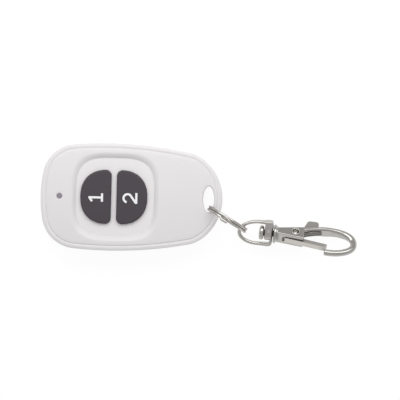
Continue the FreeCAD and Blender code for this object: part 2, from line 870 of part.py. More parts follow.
def swivel_bow():
    """The D-shaped bow: a wire arch whose arms flatten into lugs, a recessed bar and the pin's boss."""
    half = bow_half_width
    edges = [Part.makeLine(Vec(bow_length, half, 0), Vec(half, half, 0)),
             Part.Arc(Vec(half, half, 0), Vec(0, 0, 0), Vec(half, -half, 0)).toShape(),
             Part.makeLine(Vec(half, -half, 0), Vec(bow_length, -half, 0))]
    circle = Part.Wire([Part.makeCircle(bow_wire / 2, Vec(bow_length, half, 0), X_AXIS)])
    bow = Part.Wire(edges).makePipeShell([circle], True, False)
    across = 2 * half + bow_wire
    bar = Part.makeBox(bow_bar_thickness, across, bow_bar_height,
                       Vec(base_u - bow_bar_thickness, -across / 2, -bow_bar_height / 2))
    for side in (1, -1):
        bar = bar.fuse(bow_lug(side, across / 2))
    bar = rounded(bar.removeSplitter(), bow_corner_round, is_bow_corner)
    boss = Part.makeCylinder(bow_boss_radius, base_u - boss_start_u - bow_recess_depth,
                             Vec(boss_start_u, 0, 0), X_AXIS)
    boss = rounded(boss, bow_boss_round, lambda edge: edge.BoundBox.XMax < boss_start_u + 0.01)
    recess = Part.makeCylinder(bow_recess_radius, bow_recess_depth,
                               Vec(base_u - bow_recess_depth, 0, 0), X_AXIS)
    bore = Part.makeCylinder(pin_radius + pin_clearance, bow_length, Vec(boss_start_u, 0, 0), X_AXIS)
    bow = bow.fuse(bar).fuse(boss).cut(recess).cut(bore)
    return placed(bow.removeSplitter(), 0)


def bow_lug(side, outer):
    """One flattened arm beside the boss, as high as the bar and tapered where the wire enters."""
    high = bow_bar_height / 2
    low = bow_wire / 2
    start = base_u - bow_lug_length
    corners = [(base_u, high), (start + bow_lug_taper, high), (start, low),
               (start, -low), (start + bow_lug_taper, -high), (base_u, -high)]
    inner = side * outer - (bow_lug_thickness if side > 0 else 0)
    points = [Vec(u, inner, z) for u, z in corners]
    face = Part.Face(Part.makePolygon(points + points[:1]))
    return face.extrude(Vec(0, bow_lug_thickness, 0))


def is_bow_corner(edge):
    """True for the two upright outer corners between the bar and its lugs."""
    box = edge.BoundBox
    outside = abs(box.YMin) > bow_half_width
    return box.XMin > base_u - 0.01 and box.ZLength > 0.9 * bow_bar_height and outside


def swivel_pin():
    """The swivel rivet: a thick rounded head inside the bow and a shank into the neck."""
    head_end = boss_start_u - pin_end_gap
    head = Part.makeCylinder(pin_head_radius, pin_head_height,
                             Vec(head_end - pin_head_height, 0, 0), X_AXIS)
    head = rounded(head, pin_head_round, lambda edge: edge.BoundBox.YLength > pin_head_radius)
    shank = Part.makeCylinder(pin_radius, neck_u + neck_length - head_end, Vec(head_end, 0, 0), X_AXIS)
    return placed(head.fuse(shank).removeSplitter(), hook_roll)


def side_face(edges, half):
    """A closed side outline in the clasp's own u and v, thickened by half each way."""
    face = Part.Face(Part.Wire(Part.__sortEdges__(edges)))
    solid = face.extrude(Vec(0, 0, 2 * half))
    solid.translate(Vec(0, 0, -half))
    return solid


def polygon(points):
    """Straight edges through the points and back to the first."""
    corners = [Vec(u, v, 0) for u, v in points]
    return [Part.makeLine(one, two) for one, two in zip(corners, corners[1:] + corners[:1])]


def hook_section(outer, inner, half_depth, squareness):
    """One closed section of the hook: from its inner to its outer line, as deep as half_depth."""
    steps = 16
    middle = (outer + inner) * 0.5
    reach = (outer - inner) * 0.5
    points = []
    for step in range(steps):
        turn = 2 * math.pi * step / steps
        scale = (abs(math.cos(turn)) ** squareness + abs(math.sin(turn)) ** squareness) ** (-1 / squareness)
        points.append(middle + reach * (scale * math.cos(turn))
                      + Z_AXIS * (half_depth * scale * math.sin(turn)))
    curve = Part.BSplineCurve()
    curve.interpolate(Points=points, PeriodicFlag=True)
    return Part.Wire([curve.toShape()])


def hook_loop():
    """The hook from the cheeks to its tip, lofted through sections across its path.

    The top arm rises as a parabola to the hook's top; the bend is two quarter ellipses, one
    above and one below the middle, each with an outer and an inner line; the tip is a short
    run back towards the gate. Depth falls from the rails to the round of the bend.
    """
    root = cheek_end_u - rail_overlap
    top_u = neck_u + hook_top_u
    low_u = neck_u + hook_bottom_u
    far_u = neck_u + hook_right_u
    tip_u = neck_u + hook_tip_u
    sections = []
    for share, depth in ((1.0, rail_half_depth), (0.7, rail_half_depth), (0.35, rail_half_depth)):
        u = top_u - share * (top_u - root)
        drop = hook_root_drop * share ** 2
        outer = Vec(u, hook_top_v - drop, 0)
        sections.append(hook_section(outer, outer - Vec(0, hook_top_thickness, 0), depth, rail_squareness))
    for step in range(9):
        turn = math.radians(90 - 22.5 * step)
        centre_u = top_u if step < 4 else low_u
        half_v = hook_top_v - hook_mid_v if step < 4 else hook_mid_v - hook_bottom_v
        thin = hook_top_thickness if step < 4 else hook_bottom_thickness
        if step == 4:
            outer = Vec(far_u, hook_mid_v, 0)
            inner = Vec(far_u - hook_right_thickness, hook_mid_v, 0)
        else:
            half_u = far_u - centre_u
            outer = Vec(centre_u + half_u * math.cos(turn), hook_mid_v + half_v * math.sin(turn), 0)
            inner = Vec(centre_u + (half_u - hook_right_thickness) * math.cos(turn),
                        hook_mid_v + (half_v - thin) * math.sin(turn), 0)
        fade = max(0.0, 1 - step / 3)
        depth = wire_half_depth + (bend_half_depth - wire_half_depth) * fade
        squareness = wire_squareness + (rail_squareness - wire_squareness) * fade
        sections.append(hook_section(outer, inner, depth, squareness))
    for share, size in ((0.5, 1.0), (0.85, 0.95), (1.0, 0.7)):
        u = low_u - share * (low_u - tip_u)
        middle = hook_bottom_v + hook_bottom_thickness / 2 + hook_tip_rise * share ** 2
        half = Vec(0, hook_bottom_thickness / 2 * size, 0)
        centre = Vec(u, middle, 0)
        sections.append(hook_section(centre - half, centre + half, wire_half_depth * size, wire_squareness))
    return Part.makeLoft(sections, True, False)


def hook_body():
    """The casting: swivel collar, slotted wedge of two cheeks, two rails and the hook."""
    collar = Part.makeCylinder(neck_radius, neck_bead_length, Vec(neck_u, 0, 0), X_AXIS)
    collar = rounded(collar, neck_round, lambda edge: edge.BoundBox.YLength > neck_radius)
    shoulder = Part.makeCylinder(shoulder_bead_radius, neck_length, Vec(neck_u, 0, 0), X_AXIS)
    shoulder = rounded(shoulder, shoulder_bead_round, lambda edge: edge.BoundBox.XMin > body_u - 0.01)
    start_u = body_u - cheek_neck_overlap
    wedge = side_face(polygon([(start_u, -cheek_bottom_at_neck), (start_u, cheek_top_at_neck),
                               (cheek_end_u, cheek_half_height_end),
                               (cheek_end_u, -cheek_half_height_end)]), cheek_half_depth)
    wedge = rounded(wedge, cheek_round, lambda edge: edge.BoundBox.XMax > body_u + 1)
    body = wedge.fuse(hook_loop()).fuse(collar).fuse(shoulder)
    tall = cheek_half_height_end + hook_top_v
    gap_start = body_u + slot_start
    gap = Part.makeBox(neck_u + slot_end - gap_start, 2 * tall, 2 * slot_half,
                       Vec(gap_start, -tall, -slot_half))
    body = body.cut(gap)
    body = body.cut(Part.makeCylinder(pin_radius, neck_length, Vec(neck_u, 0, 0), X_AXIS))
    body = body.cut(Part.makeCylinder(rivet_radius, 4 * cheek_half_depth,
                                      Vec(neck_u + rivet_u, 0, -2 * cheek_half_depth), Z_AXIS))
    leg_hole = Part.makeCylinder(spring_wire / 2, slot_start,
                                 Vec(gap_start - spring_start_gap, spring_radius, 0), X_AXIS)
    return placed(body.cut(leg_hole).removeSplitter(), hook_roll)


def trigger_lever():
    """The gate: a straight arm, a round boss at the rivet and a stem to the thumb tab."""
    pivot = Vec(neck_u + rivet_u, 0, 0)
    heel = Vec(neck_u + arm_heel_u, arm_heel_v, 0)
    tip = Vec(neck_u + arm_tip_u, arm_tip_v, 0)
    arm = side_face(polygon([(heel.x, heel.y), (tip.x - arm_tip_slant, tip.y),
                             (tip.x, tip.y + arm_tip_thickness), (heel.x, heel.y + arm_heel_thickness)]),
                    lever_half)
    boss = Part.makeCylinder(lever_boss_radius, 2 * lever_half, pivot - Vec(0, 0, lever_half), Z_AXIS)
    left = neck_u + tab_left_u
    right = neck_u + tab_right_u
    boss_low = Vec(pivot.x, -rivet_radius, 0)
    boss_high = Vec(pivot.x, rivet_radius, 0)
    tab = side_face(polygon([(boss_low.x, boss_low.y), (neck_u + stem_low_u, stem_low_v),
                             (right, stem_root_v), (right, tab_top_v), (left, tab_top_v),
                             (left - tab_heel_run, tab_heel_v), (boss_high.x, boss_high.y)]), lever_half)
    tab = rounded(tab, tab_round, lambda edge: is_upright_high(edge, tab_top_v))
    lever = arm.fuse(boss).fuse(tab)
    lever = lever.cut(Part.makeCylinder(rivet_radius + lever_clearance, 4 * lever_half,
                                        pivot - Vec(0, 0, 2 * lever_half), Z_AXIS))
    pocket = Part.makeCylinder(spring_pocket_radius, 2 * spring_pocket_half,
                               pivot - Vec(0, 0, spring_pocket_half), Z_AXIS)
    channel_reach = lever_boss_radius + lever_half
    channel = Part.makeBox(channel_reach, lever_boss_radius + lever_clearance, 2 * spring_pocket_half,
                           Vec(pivot.x - channel_reach, 0, -spring_pocket_half))
    lever = lever.cut(pocket.fuse(channel)).removeSplitter()
    return placed(lever, hook_roll)


def is_upright_high(edge, height):
    """True for an edge across the plate at the tab's top."""
    box = edge.BoundBox
    return box.ZLength > 0.9 * edge.Length and box.YMin > height - 0.01


def trigger_rivet():
    """The eyelet rivet through both cheeks, with its small hollow."""
    centre = neck_u + rivet_u
    reach = cheek_half_depth + rivet_head_height
    rivet = Part.makeCylinder(rivet_radius, 2 * reach, Vec(centre, 0, -reach), Z_AXIS)
    for start in (cheek_half_depth, -reach):
        head = Part.makeCylinder(rivet_head_radius, rivet_head_height, Vec(centre, 0, start), Z_AXIS)
        rivet = rivet.fuse(rounded(head, rivet_head_round,
                                   lambda edge: abs(edge.BoundBox.ZMin) > reach - 0.01))
    rivet = rivet.cut(Part.makeCylinder(rivet_bore_radius, rivet_bore_depth,
                                        Vec(centre, 0, reach - rivet_bore_depth), Z_AXIS))
    return placed(rivet.removeSplitter(), hook_roll)


def trigger_spring():
    """The gate's spring: a wire from the neck, bent round the rivet and down onto the gate."""
    centre = neck_u + rivet_u
    points = [Vec(body_u + slot_start - spring_start_gap, spring_radius, 0),
              Vec(centre + spring_radius, spring_radius, 0),
              Vec(centre + spring_radius, -spring_foot, 0)]
    wire = bent_wire(points, spring_wire / 2, spring_radius)
    return placed(wire, hook_roll)


def pieces():
    """Every node's name with its solid."""
    made = {
        "bottom_shell": bottom_shell(),
        "top_shell": top_shell(),
        "keypad_mat": keypad_mat(),
        "button_1": button(-1),
        "button_2": button(1),
        "lamp_lens": lamp_lens(),
        "circuit_board": circuit_board(),
        "status_lamp": chip_parts([(lamp_x, 0)], lamp_body_size),
        "encoder_chip": encoder_chip(),
        "transmitter_can": transmitter_can(),
        "radio_transistor": radio_transistor(),
        "chip_resistors": chip_parts(resistor_places(), chip_part_size),
        "chip_capacitors": chip_parts([(capacitor_inset - half_length, y) for y in capacitor_y],
                                      chip_part_size),
        "antenna_loop": antenna_loop(),
        "coin_cell": coin_cell(),
        "cell_clip": cell_clip(),
        "cell_spring": cell_spring(),
        "case_screws": case_screws(),
        "split_ring": split_ring(),
        "swivel_bow": swivel_bow(),
        "swivel_pin": swivel_pin(),
        "hook_body": hook_body(),
        "trigger_lever": trigger_lever(),
        "trigger_rivet": trigger_rivet(),
        "trigger_spring": trigger_spring(),
    }
    for index, x in enumerate(switch_places, start=1):
        made["switch_%d" % index] = switch_body(x)
        made["plunger_%d" % index] = switch_plunger(x)
    return made


os.makedirs("parts", exist_ok=True)
for name, shape in pieces().items():
    shape.exportStep("parts/%s.step" % name)
    box = shape.BoundBox
    print("%-17s solids %d valid %s volume %8.2f  x %.2f %.2f  y %.2f %.2f  z %.2f %.2f" % (
        name, len(shape.Solids), shape.isValid(), shape.Volume,
        box.XMin, box.XMax, box.YMin, box.YMax, box.ZMin, box.ZMax))
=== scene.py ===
"""Key fob transmitter with split ring and snap hook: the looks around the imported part.

Every operator dresses or makes one piece, or one group of like pieces, in the part's own frame:
the fob lies on its back, X runs towards the key ring, Y across, Z up. Sizes in the formulas are
millimetres and are turned into metres where a mesh is made.
"""
import math

import bmesh
import bpy
import numpy as np
from bpy.props import FloatProperty, FloatVectorProperty, PointerProperty
from mathutils import Matrix, Vector
from mathutils.geometry import delaunay_2d_cdt


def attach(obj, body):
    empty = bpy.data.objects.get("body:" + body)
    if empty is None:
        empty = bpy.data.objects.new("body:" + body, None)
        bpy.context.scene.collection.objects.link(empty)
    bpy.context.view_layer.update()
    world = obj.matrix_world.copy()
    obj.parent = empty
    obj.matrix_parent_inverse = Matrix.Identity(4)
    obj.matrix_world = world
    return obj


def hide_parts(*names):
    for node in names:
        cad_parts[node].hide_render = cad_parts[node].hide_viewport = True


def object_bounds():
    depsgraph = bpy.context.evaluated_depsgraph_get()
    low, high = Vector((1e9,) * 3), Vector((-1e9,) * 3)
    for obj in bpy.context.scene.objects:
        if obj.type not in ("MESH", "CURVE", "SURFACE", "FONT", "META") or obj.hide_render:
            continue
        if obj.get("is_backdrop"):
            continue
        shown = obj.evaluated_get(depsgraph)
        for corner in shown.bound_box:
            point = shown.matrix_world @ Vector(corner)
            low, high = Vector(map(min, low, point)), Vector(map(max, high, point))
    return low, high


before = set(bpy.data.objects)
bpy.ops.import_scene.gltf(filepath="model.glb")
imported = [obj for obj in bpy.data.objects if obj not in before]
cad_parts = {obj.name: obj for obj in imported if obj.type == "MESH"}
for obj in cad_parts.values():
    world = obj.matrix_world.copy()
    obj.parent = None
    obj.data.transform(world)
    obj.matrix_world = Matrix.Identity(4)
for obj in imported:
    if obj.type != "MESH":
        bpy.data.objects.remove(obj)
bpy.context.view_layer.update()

bl_info = {
    "name": "Key Fob Dressing",
    "version": (1, 0, 0),
    "blender": (4, 5, 0),
    "location": "View3D > Sidebar > Fob",
    "description": "Dresses a packed key fob, its split ring and its snap hook",
    "category": "Object",
}

MM = 0.001
WELD = 0.0005

# The fob's outline and heights, as the solids have them
FOB_LENGTH = 58.0
FOB_WIDTH = 34.2
WIDEST_X = -7.0
LAMP_END_RADIUS = 42.0
LAMP_CORNER_RADIUS = 11.1
SIDE_RADIUS = 129.0
SHOULDER_RADIUS = 10.0
RING_END_RADIUS = 15.8
SPLIT_HEIGHT = 6.4
CROWN_HEIGHT = 10.6
CROWN_X = -5.3
CROWN_RADIUS = 240.0
PAD_X = -5.3
PAD_HALF = 13.9
PAD_POWER = 3.5
PAD_FLOOR = 9.1
SLOT_X = 24.6
SLOT_HALF_WIDTH = 1.75
SLOT_HALF_LENGTH = 4.1
LAMP_X = -23.0
LAMP_RADIUS = 0.92
BUTTON_HALF = (8.45, 8.55)
BUTTON_POWER = 2.3
BUTTON_X = {"button_1": -7.82, "button_2": -3.50}
BUTTON_EDGE = {"button_1": -6.575, "button_2": -4.725}
BUTTON_SIDE = {"button_1": -1, "button_2": 1}
BUTTON_CORNER = 1.75
BUTTON_TOP = 10.2

# The split ring and the clasp, as the solids have them
RING_CENTRE = (30.76, -6.2, 7.25)
RING_HEADING = math.radians(-30.6)
RING_OUTER = 7.25
CLASP_APEX = (34.73, -9.48, 5.3)
CLASP_HEADING = math.radians(-5.3)
HOOK_ROLL = math.radians(-40.0)
BOW_ROLL = math.radians(22.0)
BOW_HALF = 3.75
BOW_LENGTH = 10.3
NECK = 10.95
RIVET = 6.95

# The point that the camera looks down on, and the light tent: levels against the sine of the
# height above the floor
PICTURE_MIDDLE = (21.84, -0.28, 9.0)
TENT_LEVELS = ((0.0, 0.55), (0.2, 0.6), (0.5, 0.62), (0.85, 0.6), (0.955, 0.5), (0.985, 0.72), (1.0, 0.85))


# Shader sums

class Value:
    """A shader socket that adds, subtracts, multiplies and takes powers like a number."""

    def __init__(self, finish, socket):
        self.finish = finish
        self.socket = socket

    def join(self, operation, first, second):
        return self.finish.node("ShaderNodeMath", {"operation": operation}, {0: first, 1: second})

    def __add__(self, other):
        return self.join("ADD", self, other)

    def __radd__(self, other):
        return self.join("ADD", other, self)

    def __sub__(self, other):
        return self.join("SUBTRACT", self, other)

    def __rsub__(self, other):
        return self.join("SUBTRACT", other, self)

    def __mul__(self, other):
        return self.join("MULTIPLY", self, other)

    def __rmul__(self, other):
        return self.join("MULTIPLY", other, self)

    def __pow__(self, other):
        return self.join("POWER", self, other)


class Nodes:
    """A node tree: one method makes every node, its settings first and then its sockets."""

    def __init__(self, tree):
        self.tree = tree

    def put(self, socket, value):
        if isinstance(value, Value):
            self.tree.links.new(value.socket, socket)
        elif isinstance(value, (tuple, list)) and len(value) == 3 and socket.type == "RGBA":
            socket.default_value = (*value, 1.0)
        else:
            socket.default_value = value

    def node(self, kind, settings, inputs, output=0):
        made = self.tree.nodes.new(kind)
        for name, value in settings.items():
            if name == "stops":
                self.stops(made.color_ramp, value)
            else:
                setattr(made, name, value)
        for name, value in inputs.items():
            self.put(made.inputs[name], value)
        return Value(self, made.outputs[output])

    def stops(self, ramp, pairs):
        """Grey stops of a ramp: pairs of place and level."""
        while len(ramp.elements) < len(pairs):
            ramp.elements.new(1.0)
        for element, (place, level) in zip(ramp.elements, pairs):
            element.position = place
            element.color = (level, level, level, 1.0)


class Finish(Nodes):
    """One material: a Principled surface, its constants, and the nodes that vary it."""

    def __init__(self, name, constants):
        self.material = bpy.data.materials.new(name)
        self.material.use_nodes = True
        super().__init__(self.material.node_tree)
        self.tree.nodes.clear()
        self.surface = self.tree.nodes.new("ShaderNodeBsdfPrincipled")
        self.output = self.tree.nodes.new("ShaderNodeOutputMaterial")
        self.tree.links.new(self.surface.outputs[0], self.output.inputs["Surface"])
        for socket, value in constants.items():
            self.surface.inputs[socket].default_value = value

    def feed(self, socket, value):
        self.put(self.surface.inputs[socket], value)

    def place(self):
        return self.node("ShaderNodeTexCoord", {}, {}, "Object")

    def noise(self, scale, detail=2.0, roughness=0.5):
        return self.node("ShaderNodeTexNoise", {}, {"Vector": self.place(), "Scale": scale,
                                                    "Detail": detail, "Roughness": roughness}, 0)

    def blend(self, amount, first, second):
        return self.node("ShaderNodeMix", {"data_type": "RGBA"}, {0: amount, 6: first, 7: second}, 2)

    def crevice(self, reach):
        """1 in the open and 0 deep in a corner, for what lies within reach."""
        return self.node("ShaderNodeAmbientOcclusion", {"samples": 8}, {"Distance": reach}, "AO")

    def bump(self, height, strength, distance):
        return self.node("ShaderNodeBump", {}, {"Height": height, "Strength": strength,
                                                "Distance": distance}, 0)


def moulded(name, colour, shade, roughness, grain, depth):
    """Moulded plastic or rubber: slow tint drift, a spark-eroded grain and its gloss."""
    finish = Finish(name, {"IOR": 1.49})
    slow = finish.noise(90.0)
    fine = finish.noise(grain, 3.0, 0.6)
    tint = tuple(channel * shade for channel in colour)
    finish.feed("Base Color", finish.blend(slow * 0.6 + fine * 0.4, tint, tuple(colour)))
    finish.feed("Roughness", fine * 0.14 + (roughness - 0.07))
    finish.feed("Normal", finish.bump(fine, 0.35, depth))
    return finish.material


def plated(name, colour, roughness, wave, depth, reach=0.0008, shade=0.9):
    """Plated metal: casting ripple, dull patches, and painted shade that darkens its crevices."""
    finish = Finish(name, {"Metallic": 1.0, "IOR": 2.2})
    ripple = finish.noise(wave, 2.0, 0.5)
    fine = finish.noise(wave * 9.0, 2.0, 0.5)
    patches = finish.noise(520.0, 2.0, 0.6)
    dull = tuple(channel * 0.86 for channel in colour)
    painted_shade_tint = tuple(channel * 0.3 for channel in colour)
    unshaded_colour = finish.blend(patches, tuple(colour), dull)
    # Painted shade: the colour falls towards a near-black tint in crevices, as far as reach
    finish.feed("Base Color", finish.blend(finish.crevice(reach) ** shade, painted_shade_tint, unshaded_colour))
    finish.feed("Roughness", fine * 0.08 + patches * 0.12 + (roughness - 0.1))
    finish.feed("Normal", finish.bump(ripple * 0.85 + fine * 0.15, 0.6, depth))
    return finish.material


# Shapes

def make_piece(name, points, faces, material, smooth=True, outward=False):
    """A mesh object at the origin from points in millimetres and faces.

    Points that coincide become one, and outward turns the faces of a closed piece outwards.
    """
    mesh = bpy.data.meshes.new(name)
    mesh.from_pydata((np.asarray(points, float).reshape(-1, 3) * MM).tolist(), [], faces)
    joined = bmesh.new()
    joined.from_mesh(mesh)
    bmesh.ops.remove_doubles(joined, verts=joined.verts, dist=WELD * MM)
    if outward:
        bmesh.ops.recalc_face_normals(joined, faces=joined.faces)
    joined.to_mesh(mesh)
    joined.free()
    mesh.polygons.foreach_set("use_smooth", np.full(len(mesh.polygons), smooth))
    mesh.materials.append(material)
    mesh.update()
    piece = bpy.data.objects.new(name, mesh)
    bpy.context.scene.collection.objects.link(piece)
    return piece


def grid_faces(rows, columns, first=0, close_rows=True, close_columns=False):
    """Quads of a grid whose rows run round a loop and whose columns run across it."""
    row = np.arange(rows if close_rows else rows - 1)
    column = np.arange(columns if close_columns else columns - 1)
    r, c = (side.ravel() for side in np.meshgrid(row, column, indexing="ij"))
    up, over = (r + 1) % rows, (c + 1) % columns
    quads = np.stack([r * columns + c, up * columns + c, up * columns + over, r * columns + over], 1)
    return (quads + first).tolist()


def join_grids(*grids):
    """One list of points and faces from several (points, faces) pairs."""
    points, faces, count = [], [], 0
    for grid_points, grid in grids:
        flat = np.asarray(grid_points, float).reshape(-1, 3)
        points.append(flat)
        faces.extend([[index + count for index in face] for face in grid])
        count += len(flat)
    return np.concatenate(points), faces


def at_height(flat, height):
    """Flat points with one height, or with a height for each."""
    return np.column_stack([flat, np.broadcast_to(height, len(flat))])


def full_turn(count):
    """Directions at even steps round a circle."""
    return np.arange(count) * 2 * math.pi / count


def polar(reach, turn):
    """Flat points at a reach in each direction."""
    return np.stack([reach * np.cos(turn), reach * np.sin(turn)], 1)


def superellipse(turn, power):
    """Reach in each direction of the curve whose |x| and |y|, each to the power, add up to one."""
    return (np.abs(np.cos(turn)) ** power + np.abs(np.sin(turn)) ** power) ** (-1 / power)


def smooth_step(share):
    """A cubic that rises from 0 to 1 with level ends."""
    held = np.clip(share, 0, 1)
    return held * held * (3 - 2 * held)


def circles_cross(centre_a, radius_a, centre_b, radius_b, ahead):
    """Where two circles cross, the crossing further along X if ahead is 1, further back if -1."""
    apart = centre_b - centre_a
    gap = np.hypot(*apart)
    along = (radius_a ** 2 - radius_b ** 2 + gap ** 2) / (2 * gap)
    across = math.sqrt(radius_a ** 2 - along ** 2)
    step = apart / gap
    foot = centre_a + step * along
    both = [foot + np.array([-step[1], step[0]]) * across, foot - np.array([-step[1], step[0]]) * across]
    return max(both, key=lambda point: point[0] * ahead)


def outline_arcs():
    """The upper half of the fob's outline from the ring end round to the lamp end.

    Each arc is its centre, radius and the two directions it runs between, so an offset outline
    has the same centres and directions and a shorter radius.
    """
    lamp = np.array([LAMP_END_RADIUS - FOB_LENGTH / 2, 0.0])
    ring = np.array([FOB_LENGTH / 2 - RING_END_RADIUS, 0.0])
    side = np.array([WIDEST_X, FOB_WIDTH / 2 - SIDE_RADIUS])
    corner = circles_cross(lamp, LAMP_END_RADIUS - LAMP_CORNER_RADIUS, side,
                           SIDE_RADIUS - LAMP_CORNER_RADIUS, -1)
    shoulder = circles_cross(ring, RING_END_RADIUS - SHOULDER_RADIUS, side,
                             SIDE_RADIUS - SHOULDER_RADIUS, 1)
    heading = [0.0, *(math.atan2(*(far - near)[::-1]) for near, far in
                      ((ring, shoulder), (side, shoulder), (side, corner), (lamp, corner))), math.pi]
    centres = [ring, shoulder, side, corner, lamp]
    radii = [RING_END_RADIUS, SHOULDER_RADIUS, SIDE_RADIUS, LAMP_CORNER_RADIUS, LAMP_END_RADIUS]
    return list(zip(centres, radii, heading, heading[1:]))


def outline_table(spacing):
    """Centre, radius and direction of evenly spaced points round the whole outline."""
    centres, radii, turns = [], [], []
    arcs = outline_arcs()
    for centre, radius, start, end in arcs:
        count = max(4, int(round(radius * abs(end - start) / spacing)))
        centres.append(np.tile(centre, (count, 1)))
        radii.append(np.full(count, radius))
        turns.append(start + (end - start) * np.arange(count) / count)
    centre, radius, turn = np.concatenate(centres), np.concatenate(radii), np.concatenate(turns)
    low = slice(None, 0, -1)
    lamp_centre, lamp_radius = arcs[-1][:2]
    centre = np.concatenate([centre, [lamp_centre], centre[low] * [1, -1]])
    radius = np.concatenate([radius, [lamp_radius], radius[low]])
    turn = np.concatenate([turn, [math.pi], -turn[low]])
    return centre, radius, turn


def rim_ring(table, inset):
    """The outline moved inwards: centre plus the direction times the radius less the inset."""
    centre, radius, turn = table
    return centre + polar(radius - inset, turn)


def crown(flat):
    """Height of the crown: the top of a large ball above each point."""
    return CROWN_HEIGHT - CROWN_RADIUS + np.sqrt(
        CROWN_RADIUS ** 2 - (flat[..., 0] - CROWN_X) ** 2 - flat[..., 1] ** 2)


def round_square(count, inset):
    """The recess outline: a superellipse, moved inwards by the inset."""
    turn = full_turn(count)
    return polar((PAD_HALF - inset) * superellipse(turn, PAD_POWER), turn) + [PAD_X, 0]


def slot_ring(count, growth):
    """The key slot's ellipse, each point moved out along its own normal by growth."""
    turn = full_turn(count)
    a, b = SLOT_HALF_WIDTH, SLOT_HALF_LENGTH
    normal = np.stack([b * np.cos(turn), a * np.sin(turn)], 1)
    normal /= np.linalg.norm(normal, axis=1, keepdims=True)
    return np.stack([SLOT_X + a * np.cos(turn), b * np.sin(turn)], 1) + normal * growth


def lamp_ring(radius):
    """A circle about the lamp hole's middle."""
    return polar(radius, full_turn(48)) + [LAMP_X, 0]


def rolled_edge(ring, radius):
    """Rings down a quarter circle from the crown into a hole, whose loop ring gives for a growth."""
    rings = []
    for turn in np.linspace(0, math.pi / 2, 8):
        flat = ring(radius * (1 - math.sin(turn)))
        rings.append(at_height(flat, crown(flat) - radius * (1 - math.cos(turn))))
    return rings


def inside_loop(flat, loop):
    """True for each point that lies inside a closed loop, by counting crossings of its edges."""
    one, two = loop, np.roll(loop, -1, 0)
    x, y = flat[:, :1], flat[:, 1:]
    straddle = (one[None, :, 1] > y) != (two[None, :, 1] > y)
    slope = (two[:, 0] - one[:, 0]) / np.where(two[:, 1] == one[:, 1], 1e-12, two[:, 1] - one[:, 1])
    hit = straddle & (x < one[None, :, 0] + (y - one[None, :, 1]) * slope[None])
    return hit.sum(1) % 2 == 1


def filled(outer, holes, step):
    """Triangles between an outer loop and its holes.

    Rows of loose points, each row shifted by half a step against the last, fill the area at a
    little distance from the loops.
    """
    clear, tolerance = 0.45 * step, 1e-7
    low, high = outer.min(0), outer.max(0)
    x, y = np.meshgrid(np.arange(low[0], high[0], step), np.arange(low[1], high[1], step))
    loose = np.stack([x.ravel() + (np.arange(x.size) // x.shape[1] % 2) * step / 2, y.ravel()], 1)
    loops = [outer, *holes]
    rims = np.concatenate(loops)
    apart = np.min(np.linalg.norm(loose[:, None] - rims[None], axis=2), axis=1)
    keep = inside_loop(loose, outer) & (apart > clear)
    for hole in holes:
        keep &= ~inside_loop(loose, hole)
    points = np.concatenate([rims, loose[keep]])
    edges, start = [], 0
    for loop in loops:
        index = np.arange(len(loop)) + start
        edges.extend(np.stack([index, np.roll(index, -1)], 1).tolist())
        start += len(loop)
    result = delaunay_2d_cdt([Vector(point) for point in points], edges, [], 1, tolerance)
    flat = np.array([tuple(point) for point in result[0]])
    faces = np.array(result[2])
    middle = flat[faces].mean(1)
    keep = inside_loop(middle, outer)
    for hole in holes:
        keep &= ~inside_loop(middle, hole)
    faces = faces[keep]
    a, b, c = (flat[faces[:, corner]] for corner in range(3))
    downward = ((b - a)[:, 0] * (c - a)[:, 1] - (b - a)[:, 1] * (c - a)[:, 0]) < 0
    faces[downward] = faces[downward][:, ::-1]
    return flat, faces.tolist()


def laid(centre, heading, along, across, up):
    """Points from their distances along a level heading, across it and up from a centre."""
    x = centre[0] + along * math.cos(heading) - across * math.sin(heading)
    y = centre[1] + along * math.sin(heading) + across * math.cos(heading)
    return np.stack([x, y, centre[2] + up], -1)


def lay_clasp(points, roll):
    """Points along the clasp's axis, across it and through it, turned by roll and put in place."""
    along, side, deep = points[..., 0], points[..., 1], points[..., 2]
    across = side * math.cos(roll) - deep * math.sin(roll)
    up = side * math.sin(roll) + deep * math.cos(roll)
    return laid(CLASP_APEX, CLASP_HEADING, along, across, up)


def turned(profile, count=56):
    """A profile of places along the clasp's axis and radii, carried round that axis."""
    turn = full_turn(count)
    along, radius = np.asarray(profile, float).T
    points = np.stack([np.broadcast_to(along, (count, len(along))), np.outer(np.cos(turn), radius),
                       np.outer(np.sin(turn), radius)], -1)
    return points, grid_faces(count, len(along))


def even_run(path, values, count):
    """Points at even distances along a closed path, with the values that go with them."""
    loop, held = (np.vstack([rows, rows[:1]]) for rows in (path, values))
    length = np.concatenate([[0], np.cumsum(np.linalg.norm(np.diff(loop, axis=0), axis=1))])
    even = np.arange(count) * length[-1] / count
    return [np.stack([np.interp(even, length, column) for column in rows.T], 1) for rows in (loop, held)]


def swept(path, sections, around=24):
    """A bar along a closed level path: superellipse sections of half width, half depth and power."""
    ahead = np.roll(path, -1, 0) - np.roll(path, 1, 0)
    ahead /= np.linalg.norm(ahead, axis=1, keepdims=True)
    side = np.stack([-ahead[:, 1], ahead[:, 0]], 1)
    turn = full_turn(around)
    wide, deep, power = (column[:, None] for column in sections.T)
    reach = superellipse(turn, power)
    out = wide * reach * np.cos(turn)
    level = path[:, None, :] + side[:, None, :] * out[..., None]
    points = np.concatenate([level, (-deep * reach * np.sin(turn))[..., None]], -1)
    return points, grid_faces(len(path), around, close_columns=True)


# Settings

def colour(name, description, default):
    return FloatVectorProperty(name=name, description=description, subtype="COLOR", size=3, default=default)


def length(name, description, default):
    return FloatProperty(name=name, description=description, default=default * MM, unit="LENGTH")


